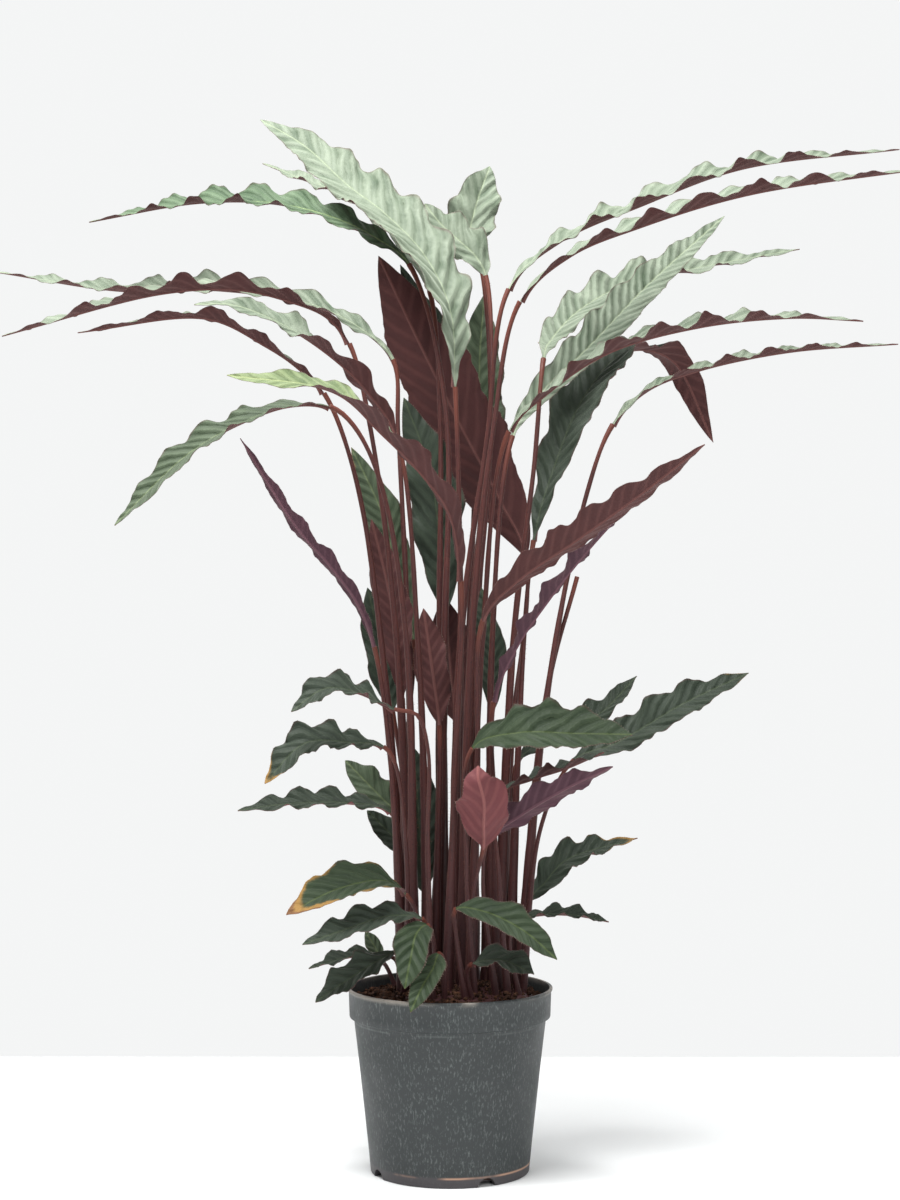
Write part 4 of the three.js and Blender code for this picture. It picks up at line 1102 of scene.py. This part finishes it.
@dataclass(frozen=True)
class Bed:
    """The peat in the pot, with crumbs and fibres lying on it."""

    edge: float = 91.0
    edge_top: float = 158.0
    mound: float = 9.0
    lumps: float = 1.6
    floor: float = 4.9
    base_radius: float = 67.5
    turns: int = 150
    rings: int = 44
    crumbs: int = 2000
    fibres: int = 320
    crown_top: float = 172.0
    crown_fall: float = 9.0

    def top(self, x: np.ndarray, y: np.ndarray) -> np.ndarray:
        """Gives the height of the peat's top.

        Args:
            x: places across, in millimetres.
            y: places in depth.

        Returns:
            Heights in millimetres.
        """
        radius = np.hypot(x, y)
        lump = np.sin(0.31 * x + 1) * np.cos(0.27 * y) + 0.6 * np.sin(0.19 * (x + 2 * y))
        crumb = (np.sin(1.31 * x + 2.1 * np.sin(0.7 * y)) * np.cos(1.17 * y + 1.7 * np.sin(0.9 * x))
                 + 0.6 * np.sin(2.3 * x - 1.9 * y) * np.cos(1.6 * x + 2.6 * y))
        return self.edge_top + self.mound * (1 - (radius / self.edge) ** 2) + self.lumps * lump + 0.55 * crumb

    def crown_level(self, x: np.ndarray, y: np.ndarray) -> np.ndarray:
        """Gives the height of the crown, on which crumbs lie too.

        Args:
            x: places across, in millimetres.
            y: places in depth.

        Returns:
            Heights in millimetres, and 0 outside the crown.
        """
        away = np.hypot((x - CROWN_CENTRE[0]) / CROWN_RADII[0],
                        (y - CROWN_CENTRE[1]) / CROWN_RADII[1])
        return np.where(away < 0.97, self.crown_top - self.crown_fall * away ** 2.5, 0.0)

    def build(self, peat: bpy.types.Material) -> bpy.types.Object:
        """Builds the whole body of peat.

        Args:
            peat: its material.

        Returns:
            The peat's object.
        """
        angle = 2 * math.pi * np.arange(self.turns) / self.turns
        radii = self.edge * np.linspace(1.0, 0.03, self.rings)
        side = [(0.5, self.floor), (self.base_radius, self.floor), (self.base_radius + 3, self.floor + 3),
                (self.edge - 4, 143.0), (self.edge, 145.6)]
        points, levels = [], []
        for radius, z in side:
            ring = [radius * np.cos(angle), radius * np.sin(angle), np.full(self.turns, z)]
            points.append(np.stack(ring, axis=1))
        for radius in radii:
            x, y = radius * np.cos(angle), radius * np.sin(angle)
            points.append(np.stack([x, y, self.top(x, y)], axis=1))
        vertices = np.concatenate([*points, [[0.0, 0.0, self.floor], [0.0, 0.0, float(self.top(0.0, 0.0))]]])
        faces = turned_faces(len(points), self.turns, len(vertices) - 2, len(vertices) - 1)
        chance = np.random.default_rng(21)
        more, own = self.scatter(chance, len(vertices))
        vertices = np.concatenate([vertices, more])
        faces += own
        turn = chance.uniform(0, 2 * math.pi, self.fibres)
        radius = self.edge * np.sqrt(chance.uniform(0.5, 0.96, self.fibres))
        x, y = radius * np.cos(turn), radius * np.sin(turn)
        spin = chance.uniform(0, 2 * math.pi, self.fibres)
        ways = unit(np.stack([np.cos(spin), np.sin(spin), chance.uniform(-0.05, 0.35, self.fibres)], axis=1))
        roots = np.stack([x, y, self.top(x, y) + 0.3], axis=1)
        reach = np.minimum(chance.uniform(3, 10, self.fibres), np.maximum(self.edge - radius, 1.5))
        points, hair_faces = needles(roots, ways, reach, 0.3, len(vertices))
        return build_mesh("peat_bed", np.concatenate([vertices, points]), faces + hair_faces, [peat])

    def scatter(self, chance: np.random.Generator, first: int) -> tuple[np.ndarray, list]:
        """Strews crumbs of peat over the top.

        Args:
            chance: the seeded source of places and sizes.
            first: number of the first vertex.

        Returns:
            The vertices and faces of all crumbs.
        """
        g = (1 + 5 ** 0.5) / 2
        # A crumb is an icosahedron with uneven corners
        ball = unit(np.array([(-1, g, 0), (1, g, 0), (-1, -g, 0), (1, -g, 0), (0, -1, g), (0, 1, g),
                              (0, -1, -g), (0, 1, -g), (g, 0, -1), (g, 0, 1), (-g, 0, -1), (-g, 0, 1)],
                             dtype=float))
        sides = ((0, 11, 5), (0, 5, 1), (0, 1, 7), (0, 7, 10), (0, 10, 11), (1, 5, 9), (5, 11, 4),
                 (11, 10, 2), (10, 7, 6), (7, 1, 8), (3, 9, 4), (3, 4, 2), (3, 2, 6), (3, 6, 8), (3, 8, 9),
                 (4, 9, 5), (2, 4, 11), (6, 2, 10), (8, 6, 7), (9, 8, 1))
        turn = chance.uniform(0, 2 * math.pi, self.crumbs)
        radius = (self.edge - 3) * np.sqrt(chance.uniform(0.0, 1.0, self.crumbs))
        size = 0.7 + 2.6 * chance.uniform(0, 1, self.crumbs) ** 3
        x, y = radius * np.cos(turn), radius * np.sin(turn)
        level = np.maximum(self.top(x, y), self.crown_level(x, y))
        centre = np.stack([x, y, level + 0.3 * size], axis=1)
        warp = chance.uniform(0.7, 1.25, (self.crumbs, 12, 1)) * size[:, None, None]
        points = (centre[:, None, :] + ball[None] * warp).reshape(-1, 3)
        faces = [[first + 12 * k + v for v in side] for k in range(self.crumbs) for side in sides]
        return points, faces


@dataclass(frozen=True)
class NurseryPot:
    """The thin-walled pot: rim band, lip, recessed underside, drain holes and water outlets."""

    turns: int = 192
    drain_count: int = 6
    drain_radius: float = 5.0
    drain_ring: float = 46.0
    notch_count: int = 4
    notch_radius: float = 9.0
    notch_azimuth: float = 27.0
    base_radius: float = 73.5

    @staticmethod
    def profile() -> list:
        """Gives the pot's section, with its edges softened.

        Returns:
            Pairs of radius and height, from the boss under the pot outwards, up and down the inside.
        """
        underside = [(25, 0), (25.4, 0.3), (26, 3), (66.5, 3), (67.2, 0.3), (67.7, 0), (72.2, 0),
                     (72.9, 0.3)]
        wall = [(73.4, 1.2), (76.3, 30), (79.6, 60), (82.9, 90), (86.2, 118), (88.9, 140.6), (89.1, 141.5)]
        band = [(89.8, 142.2), (92, 142.8), (92.8, 143.1), (93.1, 144), (93.3, 150), (93.8, 166.4)]
        lip = [(94.3, 167.3), (94.9, 167.8), (95, 168.4), (95, 169.3), (94.7, 169.8), (94.2, 170),
               (92.9, 170)]
        inside = [(92.3, 169.7), (92.1, 168), (91.5, 146), (91.2, 144.6), (87.6, 143.2), (87.3, 142),
                  (72.4, 8), (71.0, 5.6), (69.0, 4.6)]
        return underside + wall + band + lip + inside

    def build(self, plastic: bpy.types.Material) -> bpy.types.Object:
        """Builds the pot and cuts its openings.

        Args:
            plastic: its material.

        Returns:
            The pot's object.
        """
        angle = 2 * math.pi * np.arange(self.turns) / self.turns
        rows = [np.stack([r * np.cos(angle), r * np.sin(angle), np.full(self.turns, z)], axis=1)
                for r, z in self.profile()]
        floor_top = self.profile()[-1][1]
        vertices = np.concatenate([*rows, [[0.0, 0.0, 0.0], [0.0, 0.0, floor_top]]])
        faces = turned_faces(len(rows), self.turns, len(vertices) - 2, len(vertices) - 1)
        pot = build_mesh("nursery_pot", vertices, faces, [plastic], crease=POT_CREASE)
        cutters = []
        for i in range(self.drain_count):
            turn = 2 * math.pi * i / self.drain_count
            spot = (self.drain_ring * math.cos(turn), self.drain_ring * math.sin(turn), 3.0)
            cutters.append(self.cutter(spot, Vector((0, 0, 1)), self.drain_radius, 12.0))
        for i in range(self.notch_count):
            turn = math.radians(self.notch_azimuth + 360 * i / self.notch_count)
            out = Vector((math.sin(turn), -math.cos(turn), 0))
            spot = out * self.base_radius + Vector((0, 0, -1.0))
            cutters.append(self.cutter(spot, out, self.notch_radius, 16.0))
        for cutter in cutters:
            cut = pot.modifiers.new("cut", "BOOLEAN")
            cut.operation = "DIFFERENCE"
            cut.solver = "EXACT"
            cut.object = cutter
        bpy.context.view_layer.update()
        shaped = bpy.data.meshes.new_from_object(pot.evaluated_get(bpy.context.evaluated_depsgraph_get()))
        pot.modifiers.clear()
        pot.data = shaped
        shaped.polygons.foreach_set("use_smooth", [True] * len(shaped.polygons))
        shaped.set_sharp_from_angle(angle=math.radians(POT_CREASE))
        for cutter in cutters:
            bpy.data.objects.remove(cutter)
        return pot

    @staticmethod
    def cutter(spot: tuple | Vector, way: Vector, radius: float, length: float) -> bpy.types.Object:
        """Makes a round bar that is taken out of the pot.

        Args:
            spot: its middle, in millimetres.
            way: direction of its axis.
            radius: its radius.
            length: its length.

        Returns:
            The bar's object.
        """
        steps = 40
        axis = np.array(way.normalized())
        side = unit(np.cross(axis, [0.0, 0.0, 1.0] if abs(axis[2]) < 0.9 else [1.0, 0.0, 0.0]))
        front = np.cross(axis, side)
        a = 2 * math.pi * np.arange(steps) / steps
        ring = radius * (np.cos(a)[:, None] * side + np.sin(a)[:, None] * front)
        middle = np.array(spot, dtype=float)
        vertices = np.concatenate([middle + ring - axis * length / 2, middle + ring + axis * length / 2])
        faces = [[i, (i + 1) % steps, steps + (i + 1) % steps, steps + i] for i in range(steps)]
        faces += [list(range(steps))[::-1], list(range(steps, 2 * steps))]
        return build_mesh("bar", vertices, faces, [])


@dataclass(frozen=True)
class Studio:
    """The stage: a pale floor, soft light from above and the camera of the photograph."""

    floor_half_width: float = 3.0
    floor_front: float = -4.0
    floor_back: float = 0.542
    # The even light is strongest from beyond the plant and weakest from behind the camera
    far_strength: float = 0.95
    near_strength: float = 0.5
    # Soft square lamps: name, place in metres, power in watts and width in metres
    lamps: tuple = (("soft_top", (-0.4, -0.5, 2.4), 95.0, 1.1), ("soft_front", (0.9, -2.6, 1.6), 28.5, 1.6))
    aim_height: float = 0.55

    def build(self) -> None:
        """Builds the floor, the lights, the world and the camera."""
        scene = bpy.context.scene
        mesh = bpy.data.meshes.new("floor")
        w = self.floor_half_width
        mesh.from_pydata([(-w, self.floor_front, 0), (w, self.floor_front, 0), (w, self.floor_back, 0),
                          (-w, self.floor_back, 0)], [], [(0, 1, 2, 3)])
        mesh.materials.append(PaintedFloor().build())
        floor = bpy.data.objects.new("floor", mesh)
        scene.collection.objects.link(floor)
        world = bpy.data.worlds.new("pale_room")
        world.use_nodes = True
        node = partial(add_node, world.node_tree)
        way = node("TexCoord", {}, "Generated")
        depth = node("SeparateXYZ", {0: way}, 1)
        strength = node("MapRange", {0: depth, 1: -0.2, 2: 0.85, 3: self.near_strength,
                                     4: self.far_strength}, interpolation_type="SMOOTHSTEP")
        shade = world.node_tree.nodes["Background"]
        shade.inputs["Color"].default_value = linear("fafbfb")
        world.node_tree.links.new(strength, shade.inputs["Strength"])
        scene.world = world
        for name, spot, power, size in self.lamps:
            lamp = bpy.data.lights.new(name, "AREA")
            lamp.energy = power
            lamp.size = size
            holder = bpy.data.objects.new(name, lamp)
            holder.location = spot
            aim = Vector((0, 0, self.aim_height)) - Vector(spot)
            holder.rotation_euler = aim.to_track_quat("-Z", "Y").to_euler()
            scene.collection.objects.link(holder)
        camera = bpy.data.cameras.new("camera")
        camera.sensor_fit = "VERTICAL"
        camera.sensor_height = SENSOR_HEIGHT
        camera.lens = SENSOR_HEIGHT * FOCAL_PIXELS / FRAME_HEIGHT_PIXELS
        camera.clip_start = 0.05
        camera.clip_end = 50.0
        holder = bpy.data.objects.new("camera", camera)
        holder.location = Vector(CAMERA_PLACE) * MM
        holder.rotation_euler = (math.radians(90), 0, 0)
        scene.collection.objects.link(holder)
        scene.camera = holder
        scene.view_settings.view_transform = "Standard"


# The pale tones of the top leaves are partly painted sheen, and the dark tones of the low and inner leaves
# partly painted shade
VELVETS = {
    Top.SILVER: LeafVelvet("silver", "7d8776", "42513e", "89947a"),
    Top.LIME: LeafVelvet("lime", "7a8760", "4a5b38", "8f996b"),
    Top.FRESH: LeafVelvet("fresh", "5a6d54", "173517", "879a68"),
    Top.SAGE: LeafVelvet("sage", "4a5742", "2a3824", "65724f"),
    Top.MOSS: LeafVelvet("moss", "2d3b25", "1b2a18", "4a582f", sheen=0.12),
    Top.SLATE: LeafVelvet("slate", "303a2e", "202a20", "3f4a35", sheen=0.12),
}
FELTS = {
    Under.MAROON: LeafFelt("maroon", "4e2b2a", "66403c", "331b1b"),
    Under.PLUM: LeafFelt("plum", "4e323c", "66464f", "34212a"),
    Under.ROSE: LeafFelt("rose", "6c3a3d", "84524f", "4e282b"),
}


def main() -> None:
    """Builds every piece in order, from the pot upwards, and the stage."""
    logging.basicConfig(level=logging.INFO, format="%(message)s")
    Studio().build()
    place_piece(NurseryPot().build(MouldedPolypropylene().build()), Slot.POT, "pot")
    place_piece(Bed().build(Peat().build()), Slot.SOIL, "soil")
    skin, stalk_hair = StalkSkin().build(), PlantHair("stalk", "5a3028", "8c5c4c").build()
    for piece in Clump().build(skin, stalk_hair):
        place_piece(piece, Slot.STALK, "stems")
    fringe = PlantHair("fringe", "7a675a", "b8ab9a").build()
    tops = {tone: velvet.build() for tone, velvet in VELVETS.items()}
    unders = {tone: felt.build() for tone, felt in FELTS.items()}
    blades = Blades()
    for number, leaf in enumerate((*UPPER_LEAVES, *LOWER_LEAVES)):
        piece = blades.build(leaf, number, tops[leaf.top], unders[leaf.under], fringe)
        place_piece(piece, leaf.slot, "leaf_" + leaf.name)


if __name__ == "__main__":
    main()
